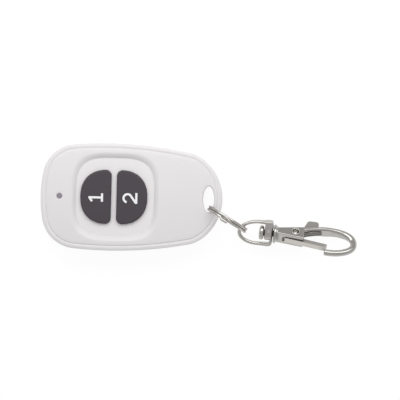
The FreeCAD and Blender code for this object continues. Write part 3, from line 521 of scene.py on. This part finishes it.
class FobColours(bpy.types.PropertyGroup):
    """Colours that a user would change."""
    shell: colour("Shell", "Moulded cover", (0.745, 0.725, 0.735))
    mat: colour("Pad", "Silicone around the buttons", (0.78, 0.76, 0.77))
    button: colour("Buttons", "Button caps", (0.051, 0.042, 0.051))
    numeral: colour("Numerals", "Printed numerals", (0.86, 0.86, 0.87))
    nickel: colour("Nickel", "Clasp plating", (0.545, 0.525, 0.5))


class FobSizes(bpy.types.PropertyGroup):
    """Sizes of the finish's details."""
    bead_width: length("Bead width", "From the edge to the bead's inner foot", 1.5)
    groove_depth: length("Groove depth", "Below the plate", 0.22)
    slot_round: length("Slot lip", "Rounding of the key slot's edge", 0.5)
    button_round: length("Button edge", "Rounding of the button caps", 0.4)
    numeral_height: length("Numeral height", "Height of the printed numerals", 4.75)
    numeral_stroke: length("Numeral stroke", "Width of the printed line", 0.68)


class FobStage(bpy.types.PropertyGroup):
    """The camera."""
    distance: length("Camera distance", "From the plate to the camera", 900.0)
    span: length("Frame width", "What the frame's width shows at the plate", 127.6)
    roll: FloatProperty(name="Roll", description="Turn of the frame", default=math.radians(1.4),
                        subtype="ANGLE")


def colours():
    return bpy.context.scene.fob_colours


def sizes():
    return bpy.context.scene.fob_sizes


def shell_finish():
    made = bpy.data.materials.get("satin_shell")
    return made or moulded("satin_shell", colours().shell[:], 0.985, 0.42, 5200.0, 0.000012)


def nickel_finish():
    made = bpy.data.materials.get("cast_nickel")
    return made or plated("cast_nickel", colours().nickel[:], 0.22, 420.0, 0.00002)


def casting_finish():
    made = bpy.data.materials.get("hook_casting")
    return made or plated("hook_casting", (0.505, 0.49, 0.465), 0.2, 420.0, 0.00002)


def wire_finish():
    made = bpy.data.materials.get("plated_wire")
    return made or plated("plated_wire", (0.57, 0.55, 0.52), 0.2, 900.0, 0.000006)


def lever_finish():
    made = bpy.data.materials.get("lever_nickel_painted_shade")
    # A lighter nickel whose crevice darkening reaches far: painted shade in the lever's gaps and slot
    return made or plated("lever_nickel_painted_shade", (0.6, 0.575, 0.54), 0.2, 420.0, 0.00002, 0.0022, 1.8)


def dress(node, material):
    """Give a CAD node its finish."""
    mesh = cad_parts[node].data
    mesh.materials.clear()
    mesh.materials.append(material)


# Pieces

class FOB_OT_top_cover(bpy.types.Operator):
    """Top cover: rim bead, groove, plate, recess slope, key slot lip and lamp hole"""
    bl_idname = "fob.top_cover"
    bl_label = "Top cover"

    def execute(self, context):
        """The plate lies on the crown, filled between the loops of rim, recess, slot and lamp hole."""
        rim, *holes = self.rim(), self.recess(), self.key_slot(), self.lamp_hole()
        spacing = 1.1
        flat, faces = filled(rim[:, -1, :2], [hole[:, 0, :2] for hole in holes], spacing)
        bands = [(band, grid_faces(*band.shape[:2])) for band in (rim, *holes)]
        points, faces = join_grids(*bands, (at_height(flat, crown(flat)), faces))
        piece = make_piece("top_cover", points, faces, shell_finish())
        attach(piece, "fob")
        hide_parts("top_shell")
        return {"FINISHED"}

    def rim(self):
        """Rings round the outline carry the rim's profile.

        From the edge inwards it is a small quarter circle, a low swelling up to the bead's crest, a
        parabola down to the groove, and half a cosine wave up to the plate.
        """
        bead, depth = sizes().bead_width / MM, sizes().groove_depth / MM
        edge, crest, swell, sunk, rise_width, spacing = 0.32, 0.85, 0.10, 0.03, 0.34, 0.5
        turn = np.linspace(0, math.pi / 2, 7)
        bulge = np.linspace(0, 1, 6)[1:]
        share = np.linspace(0, 1, 7)[1:]
        inset = np.concatenate([edge * (1 - np.cos(turn)), edge + (crest - edge) * bulge,
                                crest + (bead - crest) * share, bead + rise_width * share])
        drop = np.concatenate([swell + sunk + edge * (1 - np.sin(turn)), sunk + swell * (1 - bulge) ** 2,
                               sunk + (depth - sunk) * share ** 2,
                               depth * (0.5 + 0.5 * np.cos(math.pi * share))])
        table = outline_table(spacing)
        rings = [at_height(rim_ring(table, tuck), SPLIT_HEIGHT + up)
                 for tuck, up in ((0.10, 0.02), (0.0, 0.10))]
        for one_inset, one_drop in zip(inset, drop):
            flat = rim_ring(table, one_inset)
            rings.append(at_height(flat, crown(flat) - one_drop))
        return np.stack(rings, 1)

    def recess(self):
        """Rings round the recess, whose height falls to its floor by a power of the way in."""
        count, start, run, tuck = 256, -0.3, 1.7, 0.2
        level = PAD_FLOOR + 0.02
        rings = []
        for share in np.linspace(0, 1, 16):
            flat = round_square(count, start + run * share)
            rings.append(at_height(flat, level + (crown(flat) - level) * (1 - share ** 1.5)))
        rings.append(at_height(round_square(count, start + run + tuck), PAD_FLOOR + 0.006))
        return np.stack(rings, 1)

    def key_slot(self):
        """The slot's rolled lip, and its wall down to where the covers meet."""
        count = 96
        rings = rolled_edge(lambda growth: slot_ring(count, growth), sizes().slot_round / MM)
        return np.stack([*rings, at_height(slot_ring(count, 0), SPLIT_HEIGHT)], 1)

    def lamp_hole(self):
        """The lamp hole's small rolled lip and its wall."""
        lip, wall = 0.12, 1.2
        rings = rolled_edge(lambda growth: lamp_ring(LAMP_RADIUS + growth), lip)
        return np.stack([*rings, rings[-1] - [0, 0, wall]], 1)


class FOB_OT_bottom_cover(bpy.types.Operator):
    """Bottom cover and case screws: their finishes"""
    bl_idname = "fob.bottom_cover"
    bl_label = "Bottom cover"

    def execute(self, context):
        dress("bottom_shell", shell_finish())
        dress("case_screws", plated("screw_steel", (0.55, 0.54, 0.52), 0.3, 700.0, 0.00002))
        return {"FINISHED"}


class FOB_OT_pad(bpy.types.Operator):
    """Silicone pad around the buttons: its skin up to the caps, and its finish"""
    bl_idname = "fob.pad"
    bl_label = "Silicone pad"

    def execute(self, context):
        """The skin is level, and rolls down at each cap as a quarter circle."""
        finish = moulded("white_silicone", colours().mat[:], 0.985, 0.5, 4200.0, 0.00001)
        dress("keypad_mat", finish)
        lip, near, wall, level, spacing = 0.1, 0.04, 0.5, PAD_FLOOR + 0.004, 1.2
        edges = []
        for name in BUTTON_X:
            loop, normal = button_loop(name, 160)
            rings = [at_height(loop + normal * (near + 1.5 * lip), level)]
            for turn in np.linspace(math.pi / 2, 0, 5):
                flat = loop + normal * (near + lip * (1 - math.cos(turn)))
                rings.append(at_height(flat, level - lip * (1 - math.sin(turn))))
            rings.append(at_height(loop + normal * near, level - wall))
            edges.append(np.stack(rings, 1))
        flat, faces = filled(round_square(200, 1.5), [edge[:, 0, :2] for edge in edges], spacing)
        bands = [(edge, grid_faces(*edge.shape[:2])) for edge in edges]
        points, faces = join_grids(*bands, (at_height(flat, level), faces))
        piece = make_piece("pad_skin", points, faces, finish)
        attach(piece, "fob")
        return {"FINISHED"}


def button_loop(name, count):
    """One button's outline: a superellipse cut by a straight edge, its corners rounded.

    The rounding circle touches the edge and, by the least distance along a fine row of heights,
    the superellipse. The loop is evened out by its length. Returns points and outward normals.
    """
    side, edge = BUTTON_SIDE[name], BUTTON_EDGE[name]
    middle = 2000
    turn = np.linspace(-math.pi, math.pi, 2 * middle + 1)
    reach = superellipse(turn, BUTTON_POWER)
    curve = np.stack([BUTTON_X[name] + side * BUTTON_HALF[0] * reach * np.cos(turn),
                      BUTTON_HALF[1] * reach * np.sin(turn)], 1)
    centre_x = edge + side * BUTTON_CORNER
    heights = np.linspace(2.0, 8.0, 1201)
    gap = np.min(np.hypot(curve[:, 0][None] - centre_x, curve[:, 1][None] - heights[:, None]), axis=1)
    centre = np.array([centre_x, heights[np.argmin(np.abs(gap - BUTTON_CORNER))]])
    touch = np.argmin(np.hypot(*(curve - centre).T))
    keep = curve[np.abs(np.arange(len(curve)) - middle) <= abs(touch - middle)]
    start = math.atan2(curve[touch, 1] - centre[1], (curve[touch, 0] - centre[0]) * side)
    bend = np.linspace(start, math.pi, 60)[1:]
    upper = np.stack([centre[0] + side * BUTTON_CORNER * np.cos(bend),
                      centre[1] + BUTTON_CORNER * np.sin(bend)], 1)
    if keep[-1, 1] < 0:
        keep = keep[::-1]
    loop = np.concatenate([keep, upper, upper[::-1] * [1, -1]])
    points, _ = even_run(loop, loop, count)
    ahead = np.roll(points, -1, 0) - np.roll(points, 1, 0)
    if side < 0:
        points, ahead = points[::-1], -ahead[::-1]
    ahead /= np.linalg.norm(ahead, axis=1, keepdims=True)
    return points, np.stack([ahead[:, 1], -ahead[:, 0]], 1)


class FOB_OT_buttons(bpy.types.Operator):
    """The two push buttons with their printed numerals"""
    bl_idname = "fob.buttons"
    bl_label = "Buttons"

    def execute(self, context):
        """Rings inside the outline follow a quarter circle at the cap's edge, then shrink to its middle."""
        edge, foot = sizes().button_round / MM, 8.2
        finish = moulded("dark_caps", colours().button[:], 0.93, 0.46, 4200.0, 0.000012)
        ink = moulded("white_print", colours().numeral[:], 0.97, 0.55, 5200.0, 0.000006)
        for name in BUTTON_X:
            loop, normal = button_loop(name, 240)
            rings = [at_height(loop, foot)]
            for turn in np.linspace(0, math.pi / 2, 9):
                flat = loop - normal * edge * (1 - math.cos(turn))
                rings.append(at_height(flat, BUTTON_TOP - edge * (1 - math.sin(turn))))
            inner = rings[-1]
            middle = inner.mean(0)
            for shrink in (0.97, 0.9, 0.75, 0.55, 0.35, 0.15, 0.0):
                rings.append(middle + (inner - middle) * shrink)
            cap = np.stack(rings, 1)
            piece = make_piece(name + "_cap", cap, grid_faces(*cap.shape[:2]), finish)
            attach(piece, name)
            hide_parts(name)
            self.numeral(name, ink)
        return {"FINISHED"}

    def numeral(self, name, ink):
        """A flat ribbon along each stroke: the path plus and minus half a stroke across it.

        The numeral's own right is the fob's +Y, and its top points to the lamp. Strokes lie one
        above the other by a hair, so that they don't share a plane.
        """
        height = sizes().numeral_height / MM
        stroke = sizes().numeral_stroke / MM
        if name == "button_1":
            centre = (-11.43, -0.30)
            strokes = [np.array([[-1.15, height * 0.74], [0.1, height - stroke * 0.5]]),
                       np.array([[0.1, height - stroke * 0.12], [0.1, stroke * 0.5]]),
                       np.array([[-1.25, stroke / 2], [1.45, stroke / 2]])]
            bias = np.array([-0.05, -height / 2])
        else:
            centre = (-0.50, -0.29)
            radius = 1.3
            top = height - stroke / 2 - radius
            turn = np.radians(np.linspace(168, -42, 40))
            bowl = polar(radius, turn) + [0, top]
            foot = np.array([[-1.45, stroke * 0.75]])
            strokes = [np.concatenate([bowl, foot]), np.array([[-1.72, stroke / 2], [1.72, stroke / 2]])]
            bias = np.array([0.0, -height / 2])
        grids = []
        for order, path in enumerate(strokes):
            ahead = np.gradient(path, axis=0)
            ahead /= np.linalg.norm(ahead, axis=1, keepdims=True)
            across = np.stack([-ahead[:, 1], ahead[:, 0]], 1) * stroke / 2
            band = np.stack([path - across, path + across], 1) + bias
            level = np.full(band.shape[:2], BUTTON_TOP + 0.012 + 0.002 * order)
            band = np.stack([centre[0] - band[..., 1], centre[1] + band[..., 0], level], -1)
            grids.append((band, grid_faces(*band.shape[:2], close_rows=False)))
        points, faces = join_grids(*grids)
        piece = make_piece(name + "_numeral", points, faces, ink, smooth=False)
        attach(piece, name)


class FOB_OT_lamp(bpy.types.Operator):
    """The lamp's lens in its hole"""
    bl_idname = "fob.lamp"
    bl_label = "Lamp lens"

    def execute(self, context):
        """A low dome over the lens: its height falls as a quarter cosine wave towards the hole."""
        finish = moulded("smoked_lens", (0.27, 0.25, 0.29), 0.9, 0.25, 3000.0, 0.000003)
        dress("lamp_lens", finish)
        clearance, sunk, rise, wall = 0.01, 0.16, 0.1, 0.5
        rings = []
        for share in np.linspace(0, 1, 9):
            flat = lamp_ring((LAMP_RADIUS - clearance) * (1 - share))
            rings.append(at_height(flat, crown(flat) - sunk + rise * math.sin(share * math.pi / 2)))
        dome = np.stack([rings[0] - [0, 0, wall], *rings], 1)
        piece = make_piece("lens_dome", dome, grid_faces(*dome.shape[:2]), finish)
        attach(piece, "fob")
        return {"FINISHED"}


class FOB_OT_inside(bpy.types.Operator):
    """Board, cell, contacts and switches: their finishes"""
    bl_idname = "fob.inside"
    bl_label = "Inside parts"

    def execute(self, context):
        board = moulded("green_board", (0.03, 0.16, 0.06), 0.8, 0.35, 2600.0, 0.00001)
        black = moulded("black_moulding", (0.02, 0.02, 0.022), 0.8, 0.5, 3600.0, 0.00001)
        steel = plated("cell_steel", (0.6, 0.6, 0.58), 0.28, 1500.0, 0.00001)
        bronze = plated("contact_bronze", (0.7, 0.6, 0.42), 0.3, 1200.0, 0.00001)
        dress("circuit_board", board)
        for node in ("encoder_chip", "radio_transistor", "chip_resistors", "switch_1", "switch_2"):
            dress(node, black)
        for node in ("coin_cell", "transmitter_can"):
            dress(node, steel)
        for node in ("antenna_loop", "cell_clip", "cell_spring"):
            dress(node, bronze)
        dress("chip_capacitors", moulded("tan_ceramic", (0.42, 0.3, 0.18), 0.85, 0.4, 2500.0, 0.00001))
        dress("status_lamp", moulded("red_lamp", (0.45, 0.04, 0.03), 0.9, 0.2, 2500.0, 0.000003))
        for node in ("plunger_1", "plunger_2"):
            dress(node, moulded("plunger_tan", (0.45, 0.36, 0.26), 0.9, 0.4, 2500.0, 0.00001))
        return {"FINISHED"}


class FOB_OT_split_ring(bpy.types.Operator):
    """The split ring's two turns of wire"""
    bl_idname = "fob.split_ring"
    bl_label = "Split ring"

    def execute(self, context):
        """A flattened wire on a circle, shifted along the ring's axis from lane to lane.

        The lane starts flared out beside the first turn, keeps to one side, crosses by a smooth
        step and keeps to the other side up to its end.
        """
        half, lane, flatness, power, sides = 0.44, 0.45, 0.96, 2.6, 16
        first, sweep, rounding = 87.0, 711.0, 1.2
        flare_out, flare_start, flare_run = 0.6, 17.0, 8.0
        cross_start, cross_run = 348.0, 32.0
        run = np.linspace(0, sweep, 600)
        flare = 1 - smooth_step((run - flare_start) / flare_run)
        cross = smooth_step((run - cross_start) / cross_run)
        shift = -lane - flare_out * flare + 2 * lane * cross
        around = full_turn(sides)
        reach = superellipse(around, power)
        end = np.clip(np.minimum(run, sweep - run) / rounding, 0, 1)[:, None]
        size = half * np.sqrt(1 - (1 - end) ** 2)
        radius = RING_OUTER - half + size * reach * np.sin(around) * flatness
        across = shift[:, None] + size * reach * np.cos(around)
        angle = np.radians(first + run)[:, None]
        points = laid(RING_CENTRE, RING_HEADING, radius * np.cos(angle), across, radius * np.sin(angle))
        faces = grid_faces(len(run), sides, close_rows=False, close_columns=True)
        piece = make_piece("key_ring", points, faces, wire_finish(), outward=True)
        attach(piece, "ring")
        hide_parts("split_ring")
        return {"FINISHED"}


class FOB_OT_bow(bpy.types.Operator):
    """The swivel bow: its arch, its lugs and the strap round the pin"""
    bl_idname = "fob.bow"
    bl_label = "Swivel bow"

    def execute(self, context):
        """Frame and strap lean to one side by a constant slope along the clasp."""
        slope = 0.045
        points, faces = join_grids(self.frame(), self.strap())
        points[:, 1] -= slope * (BOW_LENGTH - points[:, 0])
        piece = make_piece("bow", lay_clasp(points, BOW_ROLL), faces, nickel_finish())
        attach(piece, "bow")
        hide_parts("swivel_bow")
        return {"FINISHED"}

    def frame(self):
        """Half an ellipse run on into straight arms, which turn a round corner into the end bar.

        Its section is a round wire at the arch and flat at the lugs.
        """
        arch_start, arch_length, corner_radius = -0.03, 6.0, 0.75
        half = np.linspace(0, math.pi / 2, 40)
        arch = np.stack([arch_start + arch_length * (1 - np.cos(half)), BOW_HALF * np.sin(half)], 1)
        bend = np.linspace(math.pi / 2, 0, 10)
        corner = np.stack([BOW_LENGTH - corner_radius * (1 - np.cos(bend)),
                           BOW_HALF - corner_radius * (1 - np.sin(bend))], 1)
        upper = np.vstack([arch, corner, [[BOW_LENGTH, 2.0], [BOW_LENGTH, 1.0]]])
        path = np.vstack([upper, upper[:0:-1] * [1, -1]])
        places = [0.0, 5.0, 7.3, 8.1, 10.4]
        wide = np.interp(upper[:, 0], places, [0.575, 0.58, 0.52, 0.48, 0.45])
        deep = np.interp(upper[:, 0], places, [0.62, 0.66, 0.8, 1.2, 1.2])
        power = np.interp(upper[:, 0], places, [2.0, 2.0, 2.6, 4.0, 4.0])
        values = np.stack([wide, deep, power], 1)
        return swept(*even_run(path, np.vstack([values, values[:0:-1]]), 190))

    def strap(self):
        """A band round the pin: a half circle under it, run up to the upper lug.

        Across the band a flat power curve swells its middle, less and less towards the lug.
        """
        radius, count, half_band, edge_scale, end_scale = 2.15, 96, 1.175, 0.84, 0.4
        under = np.linspace(0, -math.pi, 29)
        lower = radius * np.stack([np.sin(under), np.cos(under)], 1)
        flank = np.array([[0.9, 1.95], [1.7, 1.65], [2.6, 1.4], [3.9, 1.28], [4.15, 1.2], [4.26, 0.95]])
        outline = np.vstack([lower, flank * [1, -1], flank[::-1]])
        outline, _ = even_run(outline, outline, count)
        share = np.sin(np.linspace(-math.pi / 2, math.pi / 2, 17))
        swell = edge_scale + (1 - edge_scale) * (1 - np.abs(share) ** 3) ** 0.6
        place = BOW_LENGTH + 0.1 - half_band + half_band * np.array([-1, *share, 1])
        held = np.clip((outline[:, 0] - 0.9) / 2.0, 0, 0.94)
        rings = []
        for along, scale in zip(place, [end_scale, *swell, end_scale]):
            kept = (1 - scale) * held * (scale > end_scale)
            rings.append(np.column_stack([np.full(count, along), outline[:, 0] * (scale + kept),
                                          outline[:, 1] * scale]))
        band = np.stack(rings, 1)
        return band, grid_faces(*band.shape[:2], close_columns=True)


class FOB_OT_pin(bpy.types.Operator):
    """The swivel pin's domed head and shank"""
    bl_idname = "fob.pin"
    bl_label = "Swivel pin"

    def execute(self, context):
        """The head's profile is a superellipse between its two faces, and the shank runs into the neck."""
        low, high, radius, power = 6.22, 7.94, 2.3, 3
        shank, end = 0.98, NECK + 1.2
        turn = np.linspace(math.pi, 0, 25)
        reach = superellipse(turn, power)
        head = np.stack([(low + high) / 2 + (high - low) / 2 * reach * np.cos(turn),
                         radius * reach * np.sin(turn)], 1)
        head[0, 1] = 0.0
        points, faces = turned([*head[:-3], (high, shank), (end, shank), (end, 0.0)])
        piece = make_piece("pin", lay_clasp(points, HOOK_ROLL), faces, nickel_finish())
        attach(piece, "hook")
        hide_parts("swivel_pin")
        return {"FINISHED"}


class FOB_OT_clasp(bpy.types.Operator):
    """Hook, trigger and its rivet and spring"""
    bl_idname = "fob.clasp"
    bl_label = "Snap hook"

    def execute(self, context):
        """The eyelet is a tube turned about the rivet's axis: rolled flanges, and bores that
        widen as a parabola towards their mouths.
        """
        dress("hook_body", casting_finish())
        dress("trigger_lever", lever_finish())
        dress("trigger_spring", wire_finish())
        shank, depth, web, throat, funnel = 1.18, 2.4, 1.2, 0.74, 0.26
        flange_radius, flange_half, flange_rise = 1.2, 0.2, 0.26
        roll = np.linspace(0, math.pi, 9)
        flange = np.stack([flange_radius + flange_half * np.cos(roll),
                           depth + flange_rise * np.sin(roll)], 1)
        share = np.linspace(0, 1, 6)[1:]
        bore = np.stack([throat + funnel * (1 - share) ** 2, depth - web * share], 1)
        half = np.vstack([[[shank, 0.0], [shank, depth - 0.02]], flange, bore, [[0.0, depth - web]]])
        spun, faces = turned(np.vstack([half[::-1], half[1:] * [1, -1]])[:, ::-1])
        deep, across, up = np.moveaxis(spun, -1, 0)
        points = lay_clasp(np.stack([NECK + RIVET + across, -up, deep], -1), HOOK_ROLL)
        piece = make_piece("eyelet", points, faces,
                           plated("rolled_eyelet", (0.62, 0.6, 0.57), 0.2, 900.0, 0.000006, 0.0003))
        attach(piece, "hook")
        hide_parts("trigger_rivet")
        return {"FINISHED"}


class FOB_OT_stem(bpy.types.Operator):
    """The trigger's stem in the hook's slot: its ribbed inner face, dark with painted shade"""
    bl_idname = "fob.stem"
    bl_label = "Trigger stem"

    def execute(self, context):
        """A bar along the stem's sloping inner line. Across it the face is a bell-shaped rib
        between two grooves, and a sine wave along it notches the outer groove.
        """
        start, end, slope, half_deep, thick, proud, columns = 9.9, 15.28, 0.275, 0.97, 0.7, 0.02, 21
        rib_height, rib_half, edge_height, edge_place = 0.3, 0.3, 0.22, 0.8
        notch_depth, notch_rate, notch_place, notch_half = 0.1, 7.5, 0.55, 0.2
        along = np.linspace(start, end, 90)
        line = 1.2 + (along - 10.2) * slope
        deep = np.linspace(-half_deep, half_deep, columns)
        rib = rib_height * np.exp(-(deep / rib_half) ** 4) + edge_height * (np.abs(deep) > edge_place)
        wave = notch_depth * np.sin(along * notch_rate)
        notch = wave[:, None] * np.exp(-((deep - notch_place) / notch_half) ** 2)
        face = line[:, None] - proud - rib - notch
        level = np.concatenate([face, np.repeat(line[:, None] + thick, 3, 1)], 1)
        across = np.broadcast_to(np.concatenate([deep, [half_deep, 0.0, -half_deep]]), level.shape)
        points = np.stack([np.broadcast_to(along[:, None], level.shape) + NECK, level, across], -1)
        ends = [np.broadcast_to(row.mean(0), row.shape) for row in (points[0], points[-1])]
        points = np.concatenate([ends[:1], points, ends[1:]])
        faces = grid_faces(len(points), columns + 3, close_rows=False, close_columns=True)
        # A dark colour and deep crevice darkening: painted shade in the hook's slot
        finish = plated("stem_painted_shade", (0.36, 0.35, 0.33), 0.3, 900.0, 0.00002, 0.0016, 1.4)
        piece = make_piece("stem_face", lay_clasp(points, HOOK_ROLL), faces, finish, smooth=False,
                           outward=True)
        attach(piece, "trigger")
        return {"FINISHED"}


class FOB_OT_hook_wire(bpy.types.Operator):
    """The round of the snap hook, as full as the photograph shows it"""
    bl_idname = "fob.hook_wire"
    bl_label = "Hook round"

    def execute(self, context):
        """The outer line is a quarter superellipse above the hook's middle and one below it, the
        inner line two quarter ellipses. Each section is a superellipse between the two lines,
        squarer and deeper towards the rail, and shrinks by a power curve over the tip's last bit.
        """
        top, low, far, middle = NECK + 18.35, NECK + 18.0, NECK + 26.55, -1.0
        fuller, thick, tip_run, tip_length, tip_rise = 0.3, 1.72, 0.35, 1.5, 0.2
        fade_end, sides = 22.5, 28
        degrees = np.linspace(90, -90, 97)
        turn = np.radians(degrees)
        upper = turn > 0
        centre = np.where(upper, top, low)
        reach = superellipse(turn, np.where(upper, 2.5, 2.1))
        rise = np.where(upper, 5.004 + 0.08 * np.cos(turn), 5.2)
        drop = np.where(upper, 3.63, 3.31)
        outer = np.stack([centre + (far + fuller - centre) * reach * np.cos(turn),
                          middle + rise * reach * np.sin(turn)], 1)
        inner = np.stack([centre + (far - thick - centre) * np.cos(turn), middle + drop * np.sin(turn)], 1)
        run = np.linspace(0, 1, 24)[1:, None]
        back = np.hstack([-tip_length * run, tip_rise * run ** 2])
        outer, inner = (np.vstack([line, line[-1] + back]) for line in (outer, inner))
        fade = np.concatenate([np.clip((degrees - fade_end) / (90 - fade_end), 0, 1), np.zeros(len(run))])
        deep = 1.0 + 0.754 * fade
        power = 2.4 + 1.6 * fade
        left = np.hypot(*(outer - outer[-1]).T)
        cap = np.where(np.arange(len(outer)) > len(degrees) // 2, np.clip(left / tip_run, 0, 1), 1.0)
        shrink = (1 - (1 - cap) ** 4) ** 0.25
        shrink[0] = 0.0
        around = full_turn(sides)
        scale = superellipse(around, power[:, None]) * shrink[:, None]
        mid, half = (outer + inner)[:, None] / 2, (outer - inner)[:, None] / 2
        level = mid + half * (scale * np.cos(around))[..., None]
        points = np.concatenate([level, (-deep[:, None] * scale * np.sin(around))[..., None]], -1)
        faces = grid_faces(len(outer), sides, close_rows=False, close_columns=True)
        piece = make_piece("hook_round", lay_clasp(points, HOOK_ROLL), faces, casting_finish())
        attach(piece, "hook")
        return {"FINISHED"}


class FOB_OT_stage(bpy.types.Operator):
    """Floor, soft light and the camera above the fob"""
    bl_idname = "fob.stage"
    bl_label = "Stage"

    def execute(self, context):
        scene = context.scene
        scene.view_settings.view_transform = "Standard"
        self.floor()
        self.world(scene)
        self.lamp("key_panel", (0.015, 0.116, 0.145), (0.36, 0.12), 0.29)
        self.camera(scene)
        return {"FINISHED"}

    def floor(self):
        """A white floor. Mirrors and the camera see most of it as plain white, the rest as lit."""
        gap, half, white_share = 0.02, 900.0, 0.88
        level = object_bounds()[0].z / MM - gap
        corner = np.array([[-half, -half, level], [half, -half, level], [half, half, level],
                           [-half, half, level]])
        finish = Finish("white_floor", {"Roughness": 0.9, "Specular IOR Level": 0.0,
                                        "Base Color": (0.9, 0.9, 0.9, 1.0)})
        camera = finish.node("ShaderNodeLightPath", {}, {}, "Is Camera Ray")
        mirror = finish.node("ShaderNodeLightPath", {}, {}, "Is Glossy Ray")
        glass = finish.node("ShaderNodeLightPath", {}, {}, "Is Transmission Ray")
        seen = finish.node("ShaderNodeMath", {"operation": "MINIMUM"}, {0: camera + mirror + glass, 1: 1.0})
        white = finish.node("ShaderNodeEmission", {}, {"Color": (1.0, 1.0, 1.0), "Strength": 1.04})
        lit = Value(finish, finish.surface.outputs[0])
        mixed = finish.node("ShaderNodeMixShader", {}, {0: seen * white_share, 1: lit, 2: white})
        finish.put(finish.output.inputs["Surface"], mixed)
        piece = make_piece("floor", corner, [[0, 1, 2, 3]], finish.material, smooth=False)
        piece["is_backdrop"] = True

    def world(self, scene):
        """A light tent: brightest straight up, darkest in a ring round that, nearly even below.

        It is up to a tenth dimmer on the +Y side and up to a tenth brighter opposite.
        """
        world = bpy.data.worlds.new("studio")
        scene.world = world
        world.use_nodes = True
        nodes = Nodes(world.node_tree)
        heading = nodes.node("ShaderNodeTexCoord", {}, {}, "Generated")
        rise = nodes.node("ShaderNodeSeparateXYZ", {}, {"Vector": heading}, "Z")
        across = nodes.node("ShaderNodeSeparateXYZ", {}, {"Vector": heading}, "Y")
        tent = nodes.node("ShaderNodeValToRGB", {"stops": TENT_LEVELS}, {"Fac": rise})
        level = tent * (1.0 - across * 0.1)
        background = world.node_tree.nodes["Background"]
        background.inputs["Color"].default_value = (1.0, 1.0, 1.0, 1.0)
        nodes.put(background.inputs["Strength"], level)

    def lamp(self, name, place, size, power):
        """One soft rectangular panel, turned to look at the fob."""
        light = bpy.data.lights.new(name, "AREA")
        light.shape = "RECTANGLE"
        light.size, light.size_y = size
        light.energy = power
        lamp = bpy.data.objects.new(name, light)
        lamp.location = place
        aim = Vector((0.02, 0, 0)) - Vector(place)
        lamp.rotation_euler = aim.to_track_quat("-Z", "Y").to_euler()
        bpy.context.scene.collection.objects.link(lamp)

    def camera(self, scene):
        """A long lens straight above the picture's middle."""
        stage = scene.fob_stage
        data = bpy.data.cameras.new("camera")
        data.lens = data.sensor_width * stage.distance / stage.span
        data.clip_start, data.clip_end = 0.05, 5.0
        camera = bpy.data.objects.new("camera", data)
        look = Matrix.Translation([place * MM for place in PICTURE_MIDDLE])
        turn = Matrix.Rotation(stage.roll, 4, "Z")
        camera.matrix_world = look @ turn @ Matrix.Translation((0, 0, stage.distance))
        scene.collection.objects.link(camera)
        scene.camera = camera


class FOB_PT_panel(bpy.types.Panel):
    """The fob's operators in the sidebar"""
    bl_label = "Key fob"
    bl_idname = "FOB_PT_panel"
    bl_space_type = "VIEW_3D"
    bl_region_type = "UI"
    bl_category = "Fob"

    def draw(self, context):
        for group in ("fob_colours", "fob_sizes", "fob_stage"):
            settings = getattr(context.scene, group)
            for name in settings.bl_rna.properties.keys():
                if name not in ("rna_type", "name"):
                    self.layout.prop(settings, name)
        for operator in OPERATORS:
            self.layout.operator(operator.bl_idname)


OPERATORS = (FOB_OT_top_cover, FOB_OT_bottom_cover, FOB_OT_pad, FOB_OT_buttons, FOB_OT_lamp, FOB_OT_inside,
             FOB_OT_split_ring, FOB_OT_bow, FOB_OT_pin, FOB_OT_clasp, FOB_OT_stem,
             FOB_OT_hook_wire, FOB_OT_stage)
CLASSES = (FobColours, FobSizes, FobStage, *OPERATORS, FOB_PT_panel)


def register():
    for one in CLASSES:
        bpy.utils.register_class(one)
    bpy.types.Scene.fob_colours = PointerProperty(type=FobColours)
    bpy.types.Scene.fob_sizes = PointerProperty(type=FobSizes)
    bpy.types.Scene.fob_stage = PointerProperty(type=FobStage)


def unregister():
    for name in ("fob_colours", "fob_sizes", "fob_stage"):
        delattr(bpy.types.Scene, name)
    for one in reversed(CLASSES):
        bpy.utils.unregister_class(one)


def main():
    register()
    for operator in OPERATORS:
        group, name = operator.bl_idname.split(".")
        getattr(getattr(bpy.ops, group), name)()


if __name__ == "__main__":
    main()
